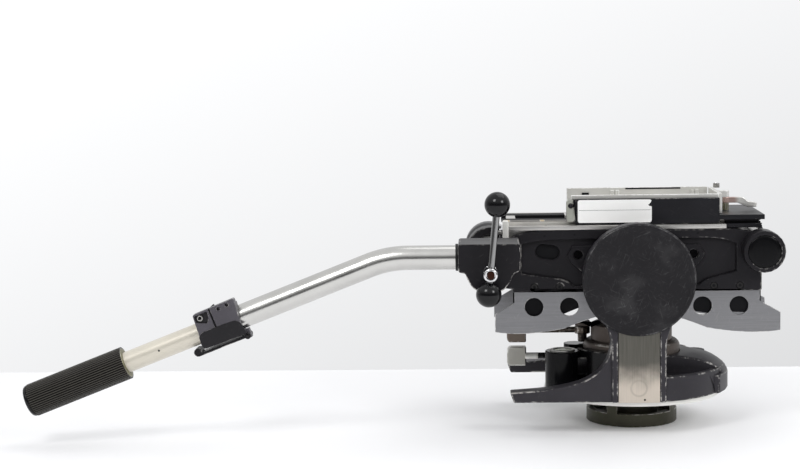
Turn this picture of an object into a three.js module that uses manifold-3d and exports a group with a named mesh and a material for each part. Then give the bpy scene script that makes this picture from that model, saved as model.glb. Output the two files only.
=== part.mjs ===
// Fluid video head with a telescoping pan bar, in millimetres, +Z up.
// The origin is on the pan axis, at the underside of the spigot ring. +X is the lens side.
import * as THREE from "three";
import { mergeVertices } from "three/addons/utils/BufferGeometryUtils.js";
import Module from "manifold-3d";

const wasm = await Module();
wasm.setup();

// Fits and facets
const clearance = 0.3;
const overrun = 3;
const bite = 0.5;
const runningGap = 0.5;
const largeFacets = 36;
const mediumFacets = 20;
const smallFacets = 10;
const curveSteps = 7;
const weldTolerance = 1e-4;

// Spigot ring
const spigotRadius = 46.8;
const spigotHeight = 30.7;
const spigotWall = 7;
const spigotFloor = 6;
const spigotHubRadius = 27;
const spigotBandHeight = 13.5;
const windowHeight = 12;
const windowCount = 4;
const windowTurn = THREE.MathUtils.degToRad(105);
const postWidth = 9.5;

// Base flange
const flangeRadius = 91;
const flangeThickness = 4.3;
const boltCircleRadius = 80;
const boltHoleRadius = 5.2;
const boltCount = 4;

// Pan shaft, bearings and drag discs
const panShaftRadius = 14;
const panShaftFootRadius = 20;
const panShaftFoot = 4;
const panShaftHeight = 58;
const panBearingRadius = 22;
const panBearingWidth = 9;
const panDiscGap = 4;
const panDiscHubRadius = 20;
const panDiscThickness = 4;
const panDiscHeight = 12;

// Yoke and base casting
const apronRadius = 95;
const apronHeight = 25;
const apronWall = 8;
const castingFloor = 7;
const rearFloorRadius = 66;
const rearWallRadius = 62;
const armInner = 66;
const armOuter = 94;
const armHalfWidth = 27;
const armFlareHeight = 56;
const armStripRise = 2.5;
const wingInner = 74;
const wingReach = 128;
const wingTipHeight = 10.5;
const wingTipSlant = 3.7;
const wingRiseHeight = 68;
const hoodHalfWidth = 40;
const hoodCrown = 38;
const hoodReach = 99;
const hoodProfileShares = [[1, 0.42], [0.98, 0.56], [0.94, 0.67], [0.87, 0.79], [0.76, 0.89], [0.63, 0.96]];
const lugHalfWidth = 51;
const lugHeight = 19;
const tiltAxisHeight = 158.5;
const drumRadius = 54.6;
const drumWall = 6;
const drumDepth = 19;
const drumCoverRadius = 56;
const drumCoverThickness = 3.6;
const drumCoverStep = 1.2;
const facePlateHalfWidth = 20.4;
const facePlateThickness = 1.6;

// Pan housing
const housingRadius = 50;
const housingStep = 8;
const housingHeight = 43;
const housingShoulder = 6;
const housingNeckRadius = housingRadius - housingStep;
const housingNeck = 16;
const housingRoof = 8;
const panDiscRadius = housingRadius - housingRoof - panDiscGap;

// Spirit level
const podX = -73;
const podY = -30;
const podRadius = 17.5;
const podTop = 77.5;
const podDepth = 24;
const levelOuterRadius = 13;
const levelInnerRadius = 9.5;
const levelDepth = 6;
const levelRise = 1.6;

// Brake levers
const brakePostGap = 8;
const brakePostX = -housingRadius - brakePostGap;
const brakePostY = 14;
const brakePostRadius = 12;
const brakePostTop = 78;
const brakePinRadius = 5;
const brakeSlot = 11;
const tiltBrakeSlot = 8.6;
const brakeHubRadius = 8.5;
const brakeRodRadius = 3.2;
const brakeRodLength = 56;
const brakePaddle = 20;
const brakePaddleThickness = 11;
const panBrakeHeight = 64.8;
const tiltBrakeDrop = 9.3;
const tiltBrakeX = -housingRadius;
const tiltPaddleDrop = 2.5;

// Pan drag knob
const dragKnobShare = 18 / 49;
const dragKnobX = housingRadius + dragKnobShare * (hoodReach - housingRadius);
const dragKnobY = 30;
const dragKnobRadius = 11.5;
const dragKnobTop = 67.5;
const dragKnobDepth = 7;
const dragKnobNotches = 16;

// Platform
const frameInner = 52;
const frameOuter = 60;
const frameTop = 205;
const frameBottom = 142;
const frameRear = 124;
const frameFront = 125.4;
const frameShoulder = 5.5;
const frameKneeShares = [0.7, 0.64];
const pocketDepth = 4.5;
const rimWidth = 9.5;
const ledgeEndHeight = 20;
const ledgeMidHeight = 13;
const ledgeMidX = 72;
const ledgeFall = 1;
const bossHoleX = 57.6;
const bossHoleZ = 179.4;
const bossHoleRadius = 4.7;
const bossPadHalf = 11.5;
const bossPadShares = [[-2, 0.85], [0.5, 0.85], [1, 0], [0.6, -0.7], [-0.3, -1.5], [-2, -1.5]];
const ovalX = -88.6;
const ovalZ = 182;
const ovalLength = 21.4;
const ovalHeight = 14.5;
const ovalSlant = 2.5;
const frameHubRadius = 44;
const frameHubRise = 0.5;
const frameEarStep = 2;
const ledgeScrewRadius = 3.6;
const ledgeScrewDepth = 2;
const ledgeScrewZ = 147.4;
const ledgeScrewXs = [-102, -76.6, 77.7, 103.7];

// Side plates
const plateThickness = 2.6;
const plateFoldZ = 97.5;
const plateCornerZ = 100.5;
const plateRearX = -141.8;
const plateFrontX = 145.5;
const plateNotchRear = 122;
const plateNotchFront = 124.7;
const plateNotchZ = 130.5;
const plateShoulderZ = 118.8;
const plateLap = 11;
const plateArchHalf = 36;
const plateArchDrop = 39.5;
const plateArchRise = 5;
const plateKneeShare = 0.76;
const plateKneeRise = 6;
const plateKneeSag = 2;
const plateHoleRadius = 9.4;
const plateHoleZ = 126;
const plateHoleXs = [-102.3, -66.5, 67.3, 103.9];

// Tilt axle, bearings, drag discs and counterbalance
const axleRadius = 9;
const axleHalfLength = 89;
const tiltBearingRadius = 16;
const tiltBearingWidth = 9;
const tiltDiscRadius = 44;
const tiltDiscHubRadius = 15;
const tiltDiscThickness = 4;
const barrelRadius = 37;
const barrelWall = 6;
const springWire = 3.2;
const springTurns = 8;
const springStepsPerTurn = 10;
const springPitch = 8.6;
const springWireSegments = 3;

// Rear and front cross bosses
const rearAxisX = -146.5;
const rearAxisZ = 172.8;
const rearBossRadius = 24;
const frontAxisX = 125.5;
const frontAxisZ = 183;
const frontBossRadius = 21;
const crossBossLength = 18;
const crossBossReach = frameOuter + crossBossLength;
const crossTubeRadius = 15;
const plugRadius = 16;
const plugDepth = 5;
const plugSink = 1.2;
const rosetteTeeth = 18;
const rosetteTooth = 1.2;
const rosetteHeight = 2;
const farCapRadius = 25.4;
const farCapDepth = 40;

// Deck, front block and sliding plate
const deckHalfWidth = frameOuter;
const deckThickness = 4.2;
const deckSkirt = 12;
const deckRear = -129;
const deckFront = 90;
const railHalfWidth = 47;
const railThickness = 3.5;
const railUndercut = 1.8;
const blockFront = 126;
const blockGroove = 1.4;
const blockStepShares = [1 / 3, 1.4 / 3, 2.1 / 3, 2.5 / 3];
const plateFront = 129;
const plateHalfWidth = 53.5;
const plateDepth = 5;
const channelRear = -60;
const channelFront = 84;
const channelHalfWidth = 54;
const channelWall = 7.5;
const channelTop = 235.2;
const trayFloor = 3;
const trayWall = 3.4;
const trayTop = 238.6;
const trayRear = -64;
const trayRib = 2.2;
const trayRibWidth = 3.6;
const trayRibXs = [-18, -12.5, 66, 71];

// Adapter end block, lever, thumb catch and slide lock
const endWall = 4;
const endHalfWidth = 40;
const endLugThickness = 6.6;
const endLugRadius = 4;
const leverPivotGap = 7.4;
const leverPivotY = -8;
const leverPinRadius = 1.8;
const leverNutRadius = 3.7;
const leverHubRadius = 4.8;
const leverThickness = 5.6;
const leverLength = 31.5;
const leverWidth = 7;
const leverDrop = 4.6;
const leverKneeShares = [0.38, 0.72];
const leverToeShare = 1.2;
const catchX = -65;
const catchNear = -57.5;
const catchFar = -50;
const catchWidth = 8.6;
const catchTop = 235;
const catchBottom = 213;
const catchPinRadius = 2.4;
const catchPinZ = 229;
const catchTaper = 1;
const lockInset = 20;
const lockY = lockInset - deckHalfWidth;
const lockZ = 203;
const lockHubRadius = 5.5;
const lockThickness = 7;
const lockArm = 9;
const lockPinRadius = 2.5;

// Pan bar clamp
const clampDepth = 56.4;
const clampFar = -crossBossReach - rosetteHeight - 2 * clearance;
const clampNear = clampFar - clampDepth;
const clampRear = 31;
const clampFront = 29;
const clampTop = 27.5;
const clampLower = 3;
const clampEdge = 1;
const bellRadius = 24.3;
const screwBoreRadius = 7.4;
const barCentreRise = 12.2;
const barCentreInset = 31.4;
const barCentreY = clampFar - barCentreInset;
const collarThickness = 2.6;
const collarRadius = 13.4;

// Bent tube, telescope block and inner tube
const barRadius = 12;
const barBore = 10.8;
const barSeat = 22;
const barCornerReach = 100.4;
const barIncline = THREE.MathUtils.degToRad(21.3);
const bendTangent = 20;
const barEnd = 174;
const blockNearEnd = 152.8;
const blockFarEnd = 200.2;
const blockTop = 17;
const blockFoot = 15.5;
const blockHalfDepth = 17;
const blockSlit = 1.6;
const blockSlitAt = 179;
const blockChamfer = 8;
const innerRadius = 10.5;
const innerBore = 8;
const innerStart = 86;
const gripStart = 280;
const gripEnd = 386.5;
const gripRadius = 16.6;
const gripFlutes = 36;
const fluteDepth = 0.9;
const gripBore = 13;
const gripCollar = 3;
const gripCap = 4;
const camLeverThickness = 2.8;
const camLeverWidth = 18;
const camHubRadius = 3.4;
const camTipRadius = 4.2;
const camTipReach = 8;
const camPinRadius = 1.6;

// Clamp screw and tommy bar
const screwHubRadius = 6.8;
const screwShankRadius = 7;
const screwHubDepth = 23;
const screwHubNear = clampNear - screwHubDepth;
const screwRecess = 4;
const screwRecessRadius = 4.4;
const screwDepth = 44;
const screwEdge = 1;
const tommyInset = 9;
const tommyY = screwHubNear + tommyInset;
const tommyRadius = 3.4;
const tommyLean = THREE.MathUtils.degToRad(5.9);
const ballRadius = 12.3;
const upperBallReach = 67.4;
const lowerBallGap = 0.5;

// Materials
const castingPaint = new THREE.MeshStandardMaterial({ color: 0x3c3b42, roughness: 0.55, metalness: 0.4 });
const ringMetal = new THREE.MeshStandardMaterial({ color: 0x4b4a42, roughness: 0.6, metalness: 0.6 });
const brightMetal = new THREE.MeshStandardMaterial({ color: 0xc9c9c2, roughness: 0.35, metalness: 0.9 });
const brushedMetal = new THREE.MeshStandardMaterial({ color: 0xa9adb0, roughness: 0.4, metalness: 0.9 });
const chromeMetal = new THREE.MeshStandardMaterial({ color: 0xd8d8da, roughness: 0.12, metalness: 1 });
const bronzeMetal = new THREE.MeshStandardMaterial({ color: 0x7c7168, roughness: 0.5, metalness: 0.7 });
const creamTube = new THREE.MeshStandardMaterial({ color: 0xddd8c8, roughness: 0.35, metalness: 0.5 });
const glossBlack = new THREE.MeshStandardMaterial({ color: 0x17171a, roughness: 0.2, metalness: 0 });
const mattBlack = new THREE.MeshStandardMaterial({ color: 0x222226, roughness: 0.7, metalness: 0 });
const levelGlass = new THREE.MeshStandardMaterial({ color: 0xcfd8b0, roughness: 0.05, metalness: 0 });

// Heights and places that follow from the sizes above
const flangeTop = spigotHeight + flangeThickness;
const castingBottom = flangeTop + clearance;
const floorTop = castingBottom + castingFloor;
const apronTop = castingBottom + apronHeight;
const deckBottom = frameTop;
const deckTop = deckBottom + deckThickness;
const railTop = deckTop + railThickness;
const plateBottom = railTop + clearance;
const plateTop = plateBottom + plateDepth;
const axisZ = tiltAxisHeight;
const cupFloor = -armOuter + drumDepth;
const springRadius = (axleRadius + springWire + clearance) / Math.cos(Math.PI / springStepsPerTurn);
const facePlateTop = axisZ - drumRadius + drumWall / 2;
const leverPivotX = channelFront + clearance + endWall + leverPivotGap;

// Closed solid from any closed geometry, its faces pointing out
function solid(geometry) {
  const bare = geometry.clone();
  bare.deleteAttribute("normal");
  bare.deleteAttribute("uv");
  const merged = mergeVertices(bare, weldTolerance);
  const places = merged.attributes.position.array;
  const corners = merged.index.array;
  const kept = [];
  let volume = 0;
  for (let i = 0; i < corners.length; i += 3) {
    const [a, b, c] = corners.slice(i, i + 3);
    if (a === b || b === c || c === a) continue;
    kept.push(a, b, c);
    const [p, q, r] = [a, b, c].map((n) => new THREE.Vector3().fromArray(places, 3 * n));
    volume += p.dot(q.cross(r));
  }
  if (volume < 0) kept.reverse();
  const mesh = new wasm.Mesh({
    numProp: 3,
    vertProperties: Float32Array.from(places),
    triVerts: Uint32Array.from(kept),
  });
  return new wasm.Manifold(mesh);
}

function join(first, ...others) {
  return others.reduce((sum, other) => sum.add(other), first);
}

function cut(first, ...others) {
  return others.reduce((sum, other) => sum.subtract(other), first);
}

function polygon(points) {
  return new THREE.Shape(points.map(([x, y]) => new THREE.Vector2(x, y)));
}

// A shape drawn in X and Z, carried along Y
function slabY(shape, yFrom, yTo, curveSegments = smallFacets) {
  const settings = { depth: yTo - yFrom, bevelEnabled: false, curveSegments };
  const geometry = new THREE.ExtrudeGeometry(shape, settings);
  geometry.rotateX(Math.PI / 2);
  geometry.translate(0, yTo, 0);
  return solid(geometry);
}

// A shape drawn in X and Y, carried along Z
function slabZ(shape, zFrom, zTo, curveSegments = smallFacets) {
  const settings = { depth: zTo - zFrom, bevelEnabled: false, curveSegments };
  const geometry = new THREE.ExtrudeGeometry(shape, settings);
  geometry.translate(0, 0, zFrom);
  return solid(geometry);
}

// A shape drawn in Y and Z, carried along X
function slabX(shape, xFrom, xTo, curveSegments = smallFacets) {
  const settings = { depth: xTo - xFrom, bevelEnabled: false, curveSegments };
  const geometry = new THREE.ExtrudeGeometry(shape, settings);
  const axes = [new THREE.Vector3(0, 1, 0), new THREE.Vector3(0, 0, 1), new THREE.Vector3(1, 0, 0)];
  geometry.applyMatrix4(new THREE.Matrix4().makeBasis(...axes));
  geometry.translate(xFrom, 0, 0);
  return solid(geometry);
}

function rodY(x, z, radius, yFrom, yTo, facets = mediumFacets) {
  const geometry = new THREE.CylinderGeometry(radius, radius, yTo - yFrom, facets);
  geometry.translate(x, (yFrom + yTo) / 2, z);
  return solid(geometry);
}

function rodZ(x, y, radius, zFrom, zTo, facets = mediumFacets) {
  const geometry = new THREE.CylinderGeometry(radius, radius, zTo - zFrom, facets);
  geometry.rotateX(Math.PI / 2);
  geometry.translate(x, y, (zFrom + zTo) / 2);
  return solid(geometry);
}

function rodX(y, z, radius, xFrom, xTo, facets = mediumFacets) {
  const geometry = new THREE.CylinderGeometry(radius, radius, xTo - xFrom, facets);
  geometry.rotateZ(Math.PI / 2);
  geometry.translate((xFrom + xTo) / 2, y, z);
  return solid(geometry);
}

function block(xFrom, xTo, yFrom, yTo, zFrom, zTo) {
  const geometry = new THREE.BoxGeometry(xTo - xFrom, yTo - yFrom, zTo - zFrom);
  geometry.translate((xFrom + xTo) / 2, (yFrom + yTo) / 2, (zFrom + zTo) / 2);
  return solid(geometry);
}

// A profile of radius and height, turned about Z
function turnedZ(points, facets = largeFacets) {
  const geometry = new THREE.LatheGeometry(points.map(([r, z]) => new THREE.Vector2(r, z)), facets);
  geometry.rotateX(Math.PI / 2);
  return solid(geometry);
}

// A profile of radius and reach along +Y, turned about Y
function turnedY(points, x, z, facets = largeFacets) {
  const geometry = new THREE.LatheGeometry(points.map(([r, y]) => new THREE.Vector2(r, y)), facets);
  geometry.translate(x, 0, z);
  return solid(geometry);
}

// The mirror image of a solid on the far side of the XZ plane
function mirrored(part) {
  return part.mirror([0, 1, 0]);
}

function piece(name, part, material, parent) {
  const data = part.getMesh();
  const geometry = new THREE.BufferGeometry();
  geometry.setAttribute("position", new THREE.BufferAttribute(Float32Array.from(data.vertProperties), 3));
  geometry.setIndex(new THREE.BufferAttribute(Uint32Array.from(data.triVerts), 1));
  geometry.computeVertexNormals();
  const mesh = new THREE.Mesh(geometry, material);
  mesh.name = name;
  parent.add(mesh);
}

// Base: spigot ring, flange, pan shaft and stationary drag disc

function spigotWindows() {
  const cutters = [];
  const half = windowCount / 2;
  for (let i = 0; i < half; i += 1) {
    const reach = spigotRadius + overrun;
    const span = Math.SQRT2 * spigotRadius - postWidth;
    const top = spigotBandHeight + windowHeight;
    const cutter = block(-reach, reach, -span / 2, span / 2, spigotBandHeight, top);
    cutters.push(cutter.rotate([0, 0, THREE.MathUtils.radToDeg(windowTurn + (i * Math.PI) / half)]));
  }
  return join(...cutters);
}

function makeSpigotRing() {
  const outer = rodZ(0, 0, spigotRadius, 0, spigotHeight, largeFacets);
  const inner = rodZ(0, 0, spigotRadius - spigotWall, spigotFloor, spigotHeight + overrun, largeFacets);
  const hub = rodZ(0, 0, spigotHubRadius, spigotFloor / 2, spigotHeight, mediumFacets);
  return join(cut(outer, inner, spigotWindows()), hub);
}

// The flange has a shallow register in which the ring sits
function makeBaseFlange() {
  const disc = rodZ(0, 0, flangeRadius, spigotHeight, flangeTop, largeFacets);
  const registerTop = spigotHeight + clearance;
  const register = rodZ(0, 0, spigotRadius + clearance, spigotHeight - overrun, registerTop, largeFacets);
  let flange = cut(disc, register);
  for (let i = 0; i < boltCount; i += 1) {
    const turn = ((i + 0.5) * 2 * Math.PI) / boltCount;
    const [x, y] = [boltCircleRadius * Math.cos(turn), boltCircleRadius * Math.sin(turn)];
    const [low, high] = [spigotHeight - overrun, flangeTop + overrun];
    flange = cut(flange, rodZ(x, y, boltHoleRadius, low, high, smallFacets));
  }
  return flange;
}

const panShaftTop = flangeTop + panShaftHeight;
const upperBearingTop = panShaftTop - panBearingWidth / 2;
const discLevel = floorTop + panBearingWidth + panDiscHeight / 2;

function makePanShaft() {
  const foot = flangeTop + panShaftFoot;
  return turnedZ([[0, flangeTop], [panShaftFootRadius, flangeTop], [panShaftFootRadius, foot],
    [panShaftRadius, foot], [panShaftRadius, panShaftTop], [0, panShaftTop]], mediumFacets);
}

function ringZ(inner, outer, zFrom, zTo, facets = mediumFacets) {
  return turnedZ([[inner, zFrom], [outer, zFrom], [outer, zTo], [inner, zTo], [inner, zFrom]], facets);
}

function makePanStator() {
  const inner = panShaftRadius + clearance;
  const disc = ringZ(inner, panDiscRadius, discLevel, discLevel + panDiscThickness);
  const hub = ringZ(inner, panDiscHubRadius, discLevel, discLevel + 2 * panDiscThickness);
  return join(disc, hub);
}

// Pan body: yoke and base casting with all that turns on the pan shaft

function armShape() {
  const shape = new THREE.Shape();
  const flareZ = castingBottom + armFlareHeight;
  const meetZ = axisZ - drumRadius / 2;
  const meetX = Math.sqrt(drumRadius ** 2 - (axisZ - meetZ) ** 2);
  shape.moveTo(-armHalfWidth, castingBottom);
  shape.lineTo(armHalfWidth, castingBottom);
  shape.lineTo(armHalfWidth, flareZ);
  shape.quadraticCurveTo(armHalfWidth, (flareZ + meetZ) / 2, meetX, meetZ);
  shape.lineTo(-meetX, meetZ);
  shape.quadraticCurveTo(-armHalfWidth, (flareZ + meetZ) / 2, -armHalfWidth, flareZ);
  return shape;
}

function wingShape() {
  const shape = new THREE.Shape();
  const tipTop = castingBottom + wingTipHeight;
  const riseTop = castingBottom + wingRiseHeight;
  const bendShare = 0.47;
  const [nearX, nearZ] = [-wingReach * bendShare, tipTop + wingTipSlant];
  const [farX, farZ] = [-armHalfWidth, castingBottom + 2 * wingTipHeight];
  shape.moveTo(-wingReach + wingTipSlant, castingBottom);
  shape.lineTo(0, castingBottom);
  shape.lineTo(0, riseTop);
  shape.lineTo(-armHalfWidth, riseTop);
  shape.bezierCurveTo(farX, farZ, nearX, nearZ, -wingReach, tipTop);
  return shape;
}

function apronSolid() {
  const inner = apronRadius - apronWall;
  const wall = cut(
    rodZ(0, 0, apronRadius, castingBottom, apronTop, largeFacets),
    rodZ(0, 0, inner, floorTop, apronTop + overrun, largeFacets),
  );
  const rear = apronRadius + overrun;
  const high = apronTop + 2 * overrun;
  const front = cut(wall, block(-rear, 0, -rear, rear, castingBottom - overrun, high));
  const floor = rodZ(0, 0, rearFloorRadius, castingBottom, floorTop, largeFacets);
  return join(front, floor);
}

function hoodSolid() {
  const low = castingBottom + clearance;
  const crown = castingBottom + hoodCrown;
  const brow = hoodProfileShares.map(([out, up]) => [out * hoodReach, low + up * hoodCrown]);
  const dome = turnedZ([[0, low], [hoodReach, low], ...brow, [housingRadius, crown], [0, crown]]);
  const reach = hoodReach + overrun;
  const high = crown + overrun;
  const spine = dome.intersect(block(0, reach, -hoodHalfWidth, hoodHalfWidth, castingBottom, high));
  const lugTop = low + lugHeight;
  const lug = rodZ(0, 0, hoodReach, low, lugTop, largeFacets);
  return join(spine, lug.intersect(block(0, reach, -lugHalfWidth, lugHalfWidth, castingBottom, lugTop)));
}

function podSolid() {
  const low = podTop - podDepth;
  const pod = rodZ(podX, podY, podRadius, low, podTop);
  const [near, far] = [podY - podRadius / 2, podY + podRadius / 2];
  const neck = block(podX, -housingRadius + overrun, near, far, low, podTop - levelDepth);
  const wallTop = podTop + levelRise;
  const bend = rodZ(0, 0, rearWallRadius, castingBottom, wallTop, largeFacets);
  const sector = block(-rearWallRadius, -armHalfWidth / 2, -armOuter, far, castingBottom, wallTop);
  return join(pod, neck, bend.intersect(sector));
}

// The arm and drum of the near side, at negative Y
function armSolid() {
  const strip = slabY(armShape(), -armOuter, -armInner, curveSteps);
  const wing = slabY(wingShape(), -armOuter + armStripRise, -wingInner, 2 * curveSteps);
  const drum = rodY(0, axisZ, drumRadius, -armOuter, -armInner, largeFacets);
  const cup = rodY(0, axisZ, drumRadius - drumWall, -armOuter - overrun, cupFloor, largeFacets);
  const bore = rodY(0, axisZ, axleRadius + runningGap, -armOuter, -armInner + overrun);
  const seatFace = -armInner - tiltBearingWidth;
  const seat = rodY(0, axisZ, tiltBearingRadius + clearance, seatFace - overrun, -armInner + overrun);
  const plateTopZ = facePlateTop + clearance;
  const plateSeat = block(-facePlateHalfWidth - clearance, facePlateHalfWidth + clearance,
    -armOuter - overrun, -armOuter + facePlateThickness, castingBottom - overrun, plateTopZ);
  return { body: join(strip, wing, drum), cuts: join(cup, bore, seat, plateSeat) };
}

function makeYokeCasting() {
  const near = armSolid();
  const body = join(apronSolid(), hoodSolid(), podSolid(), near.body, mirrored(near.body));
  const housingSeat = rodZ(0, 0, housingRadius + clearance, floorTop, axisZ, largeFacets);
  const bore = rodZ(0, 0, panBearingRadius + clearance, castingBottom - overrun, floorTop + overrun);
  const levelSeat = rodZ(podX, podY, levelOuterRadius + clearance, podTop - levelDepth, podTop + overrun);
  const knobFloor = dragKnobTop - dragKnobDepth - clearance;
  const knobSeat = rodZ(dragKnobX, dragKnobY, dragKnobRadius + clearance, knobFloor, axisZ);
  return cut(body, near.cuts, mirrored(near.cuts), housingSeat, bore, levelSeat, knobSeat);
}

const housingBottom = floorTop;
const housingTop = housingBottom + housingHeight + housingNeck;
const tiltBrakeHeight = housingTop - tiltBrakeDrop;

// The bracket on the housing's neck and the pin of the tilt brake lever under it
function tiltBrakeBracket(shoulder) {
  const low = tiltBrakeHeight + tiltBrakeSlot / 2;
  const [near, far] = [brakePostY - brakeHubRadius, brakePostY + brakeHubRadius];
  const arm = block(tiltBrakeX, bite - housingNeckRadius, near, far, low, housingTop);
  const eye = rodZ(tiltBrakeX, brakePostY, brakeHubRadius, low, housingTop, smallFacets);
  const foot = shoulder - housingShoulder;
  const pin = rodZ(tiltBrakeX, brakePostY, brakePinRadius, foot, low + bite, smallFacets);
  return join(arm, eye, pin);
}

function makePanHousing() {
  const shoulder = housingBottom + housingHeight;
  const inner = housingRadius - housingRoof;
  const cavityTop = housingBottom + panBearingWidth + 2 * panDiscHeight;
  const bore = panBearingRadius + clearance;
  const shaftBore = panShaftRadius + 2 * clearance;
  const drum = turnedZ([[inner, housingBottom], [housingRadius, housingBottom],
    [housingRadius, shoulder - housingShoulder],
    [housingRadius - housingShoulder / 3, shoulder - housingShoulder / 3],
    [housingRadius - housingShoulder, shoulder], [housingNeckRadius, shoulder],
    [housingNeckRadius, housingTop], [shaftBore, housingTop],
    [shaftBore, upperBearingTop], [bore, upperBearingTop],
    [bore, cavityTop], [inner, cavityTop], [inner, housingBottom]]);
  return join(drum, tiltBrakeBracket(shoulder));
}

function makePanBearing(low) {
  return ringZ(panShaftRadius + clearance, panBearingRadius, low, low + panBearingWidth);
}

function makePanRotor() {
  const low = discLevel - clearance - panDiscThickness;
  const outer = housingRadius - housingRoof - clearance;
  return ringZ(panShaftRadius + 2 * clearance, outer, low, low + panDiscThickness);
}

function makeFacePlate() {
  const low = castingBottom;
  const [near, far] = [-armOuter - clearance, -armOuter + facePlateThickness];
  return block(-facePlateHalfWidth, facePlateHalfWidth, near, far - clearance, low, facePlateTop);
}

function makeDrumCover() {
  const near = -armOuter - drumCoverThickness;
  const spigot = drumRadius - drumWall - clearance;
  const inner = -armOuter;
  return turnedY([[0, near], [drumCoverRadius - drumCoverStep, near], [drumCoverRadius, near + drumCoverStep],
    [drumCoverRadius, inner - clearance], [spigot, inner - clearance], [spigot, inner + drumCoverStep],
    [0, inner + drumCoverStep]], 0, axisZ);
}

function makeTiltBearing() {
  return ringY(axleRadius + clearance, tiltBearingRadius, -armInner - tiltBearingWidth, -armInner);
}

function ringY(inner, outer, yFrom, yTo) {
  const outline = [[inner, yFrom], [outer, yFrom], [outer, yTo], [inner, yTo], [inner, yFrom]];
  return turnedY(outline, 0, axisZ, mediumFacets);
}

function makeTiltStator() {
  const outer = drumRadius - drumWall - clearance;
  return ringY(axleRadius + 2 * clearance, outer, cupFloor - tiltDiscThickness, cupFloor);
}

function makeTiltRotor() {
  const far = cupFloor - tiltDiscThickness - clearance;
  const disc = ringY(axleRadius + clearance, tiltDiscRadius, far - tiltDiscThickness, far);
  return join(disc, ringY(axleRadius + clearance, tiltDiscHubRadius, far - 2 * tiltDiscThickness, far));
}

function makeLevelBezel() {
  return cut(
    rodZ(podX, podY, levelOuterRadius, podTop - levelDepth, podTop + levelRise),
    rodZ(podX, podY, levelInnerRadius, podTop - levelDepth / 2, podTop + levelRise + overrun),
  );
}

function makeLevelVial() {
  const low = podTop - levelDepth / 2;
  const top = podTop + levelRise;
  const radius = levelInnerRadius - clearance;
  const edge = top - levelRise / 2;
  const part = turnedZ([[0, low], [radius, low], [radius, edge - levelRise / 3], [radius - levelRise, edge],
    [radius / 2, top - levelRise / 4], [0, top - levelRise / 5]], mediumFacets);
  return part.translate([podX, podY, 0]);
}

function makeBrakePost() {
  const post = rodZ(brakePostX, brakePostY, brakePostRadius, floorTop, brakePostTop, smallFacets);
  const [low, high] = [panBrakeHeight - brakeSlot / 2, panBrakeHeight + brakeSlot / 2];
  const slot = ringZ(brakePinRadius, brakePostRadius + overrun, low, high, smallFacets);
  const housingSeat = rodZ(0, 0, housingRadius + clearance, floorTop - overrun, axisZ, largeFacets);
  return cut(post, slot.translate([brakePostX, brakePostY, 0]), housingSeat);
}

// A brake lever turns about its pin at pivotX: hub, rod and paddle
function brakeRod(pivotX, level, slotHeight) {
  const half = slotHeight / 2 - clearance;
  const hub = ringZ(brakePinRadius + clearance, brakeHubRadius, level - half, level + half, smallFacets);
  const [left, right] = [brakePostX - brakeRodLength, pivotX - brakePinRadius - 2 * clearance];
  const rod = rodX(brakePostY, level, brakeRodRadius, left, right, smallFacets);
  return join(hub.translate([pivotX, brakePostY, 0]), rod);
}

function brakePaddleSolid(level) {
  const right = brakePostX - brakeRodLength + brakePaddle / 4;
  const left = right - brakePaddle;
  const half = brakePaddle / 2;
  const corner = brakePaddle / 8;
  const [low, high] = [level - half, level + half];
  const outline = polygon([[left, low + corner], [left + corner, low], [right, low], [right, high],
    [left + corner, high], [left, high - corner]]);
  const thick = brakePaddleThickness / 2;
  return slabY(outline, brakePostY - thick, brakePostY + thick);
}

function makePanBrakeLever() {
  return join(brakeRod(brakePostX, panBrakeHeight, brakeSlot), brakePaddleSolid(panBrakeHeight));
}

function makeTiltBrakeLever() {
  const paddle = brakePaddleSolid(tiltBrakeHeight - tiltPaddleDrop);
  return join(brakeRod(tiltBrakeX, tiltBrakeHeight, tiltBrakeSlot), paddle);
}

function makeDragKnob() {
  const [low, top] = [dragKnobTop - dragKnobDepth, dragKnobTop];
  const shape = new THREE.Shape();
  for (let i = 0; i < 2 * dragKnobNotches; i += 1) {
    const radius = i % 2 ? dragKnobRadius : dragKnobRadius - dragKnobRadius / dragKnobNotches;
    const turn = (i * Math.PI) / dragKnobNotches;
    const [x, y] = [radius * Math.cos(turn), radius * Math.sin(turn)];
    if (i) shape.lineTo(x, y);
    else shape.moveTo(x, y);
  }
  return slabZ(shape, low, top).translate([dragKnobX, dragKnobY, 0]);
}

// Platform: side frames, plates, deck and cross bosses

function frameShape(inset) {
  const shape = new THREE.Shape();
  const top = frameTop - inset;
  const shoulder = top - frameShoulder;
  const [rear, front] = [-frameRear + inset, frameFront - inset];
  const [rearKnee, frontKnee] = [-frameKneeShares[0] * frameRear, frameKneeShares[1] * frameFront];
  shape.moveTo(rear, frameBottom + inset);
  shape.lineTo(front, frameBottom + inset);
  shape.lineTo(front, shoulder);
  shape.quadraticCurveTo((front + frontKnee) / 2, top, frontKnee, top);
  shape.lineTo(rearKnee, top);
  shape.quadraticCurveTo((rear + rearKnee) / 2, top, rear, shoulder);
  return shape;
}

// The sunk field between rim and ledge on one half of the frame
function pocketShape(sign) {
  const shape = new THREE.Shape();
  const top = frameTop - rimWidth;
  const end = sign < 0 ? -frameRear + rimWidth / 2 : frontAxisX - frontBossRadius - rimWidth / 2;
  const endTop = top - frameShoulder;
  const endLow = frameBottom + ledgeEndHeight;
  const midLow = frameBottom + ledgeMidHeight;
  const low = midLow - ledgeMidHeight / 2;
  const half = rimWidth / 2;
  const [inX, outX] = [sign * (ledgeMidX - half), sign * (ledgeMidX + half)];
  shape.moveTo(end, endLow);
  shape.lineTo(end, endTop);
  shape.quadraticCurveTo((end + sign * ledgeMidX) / 2, top, sign * ledgeMidX, top);
  shape.lineTo(0, top);
  shape.lineTo(0, low);
  shape.lineTo(sign * (ledgeMidX - rimWidth), low);
  shape.quadraticCurveTo(inX, midLow - ledgeFall, outX, midLow + ledgeFall);
  return shape;
}

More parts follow.
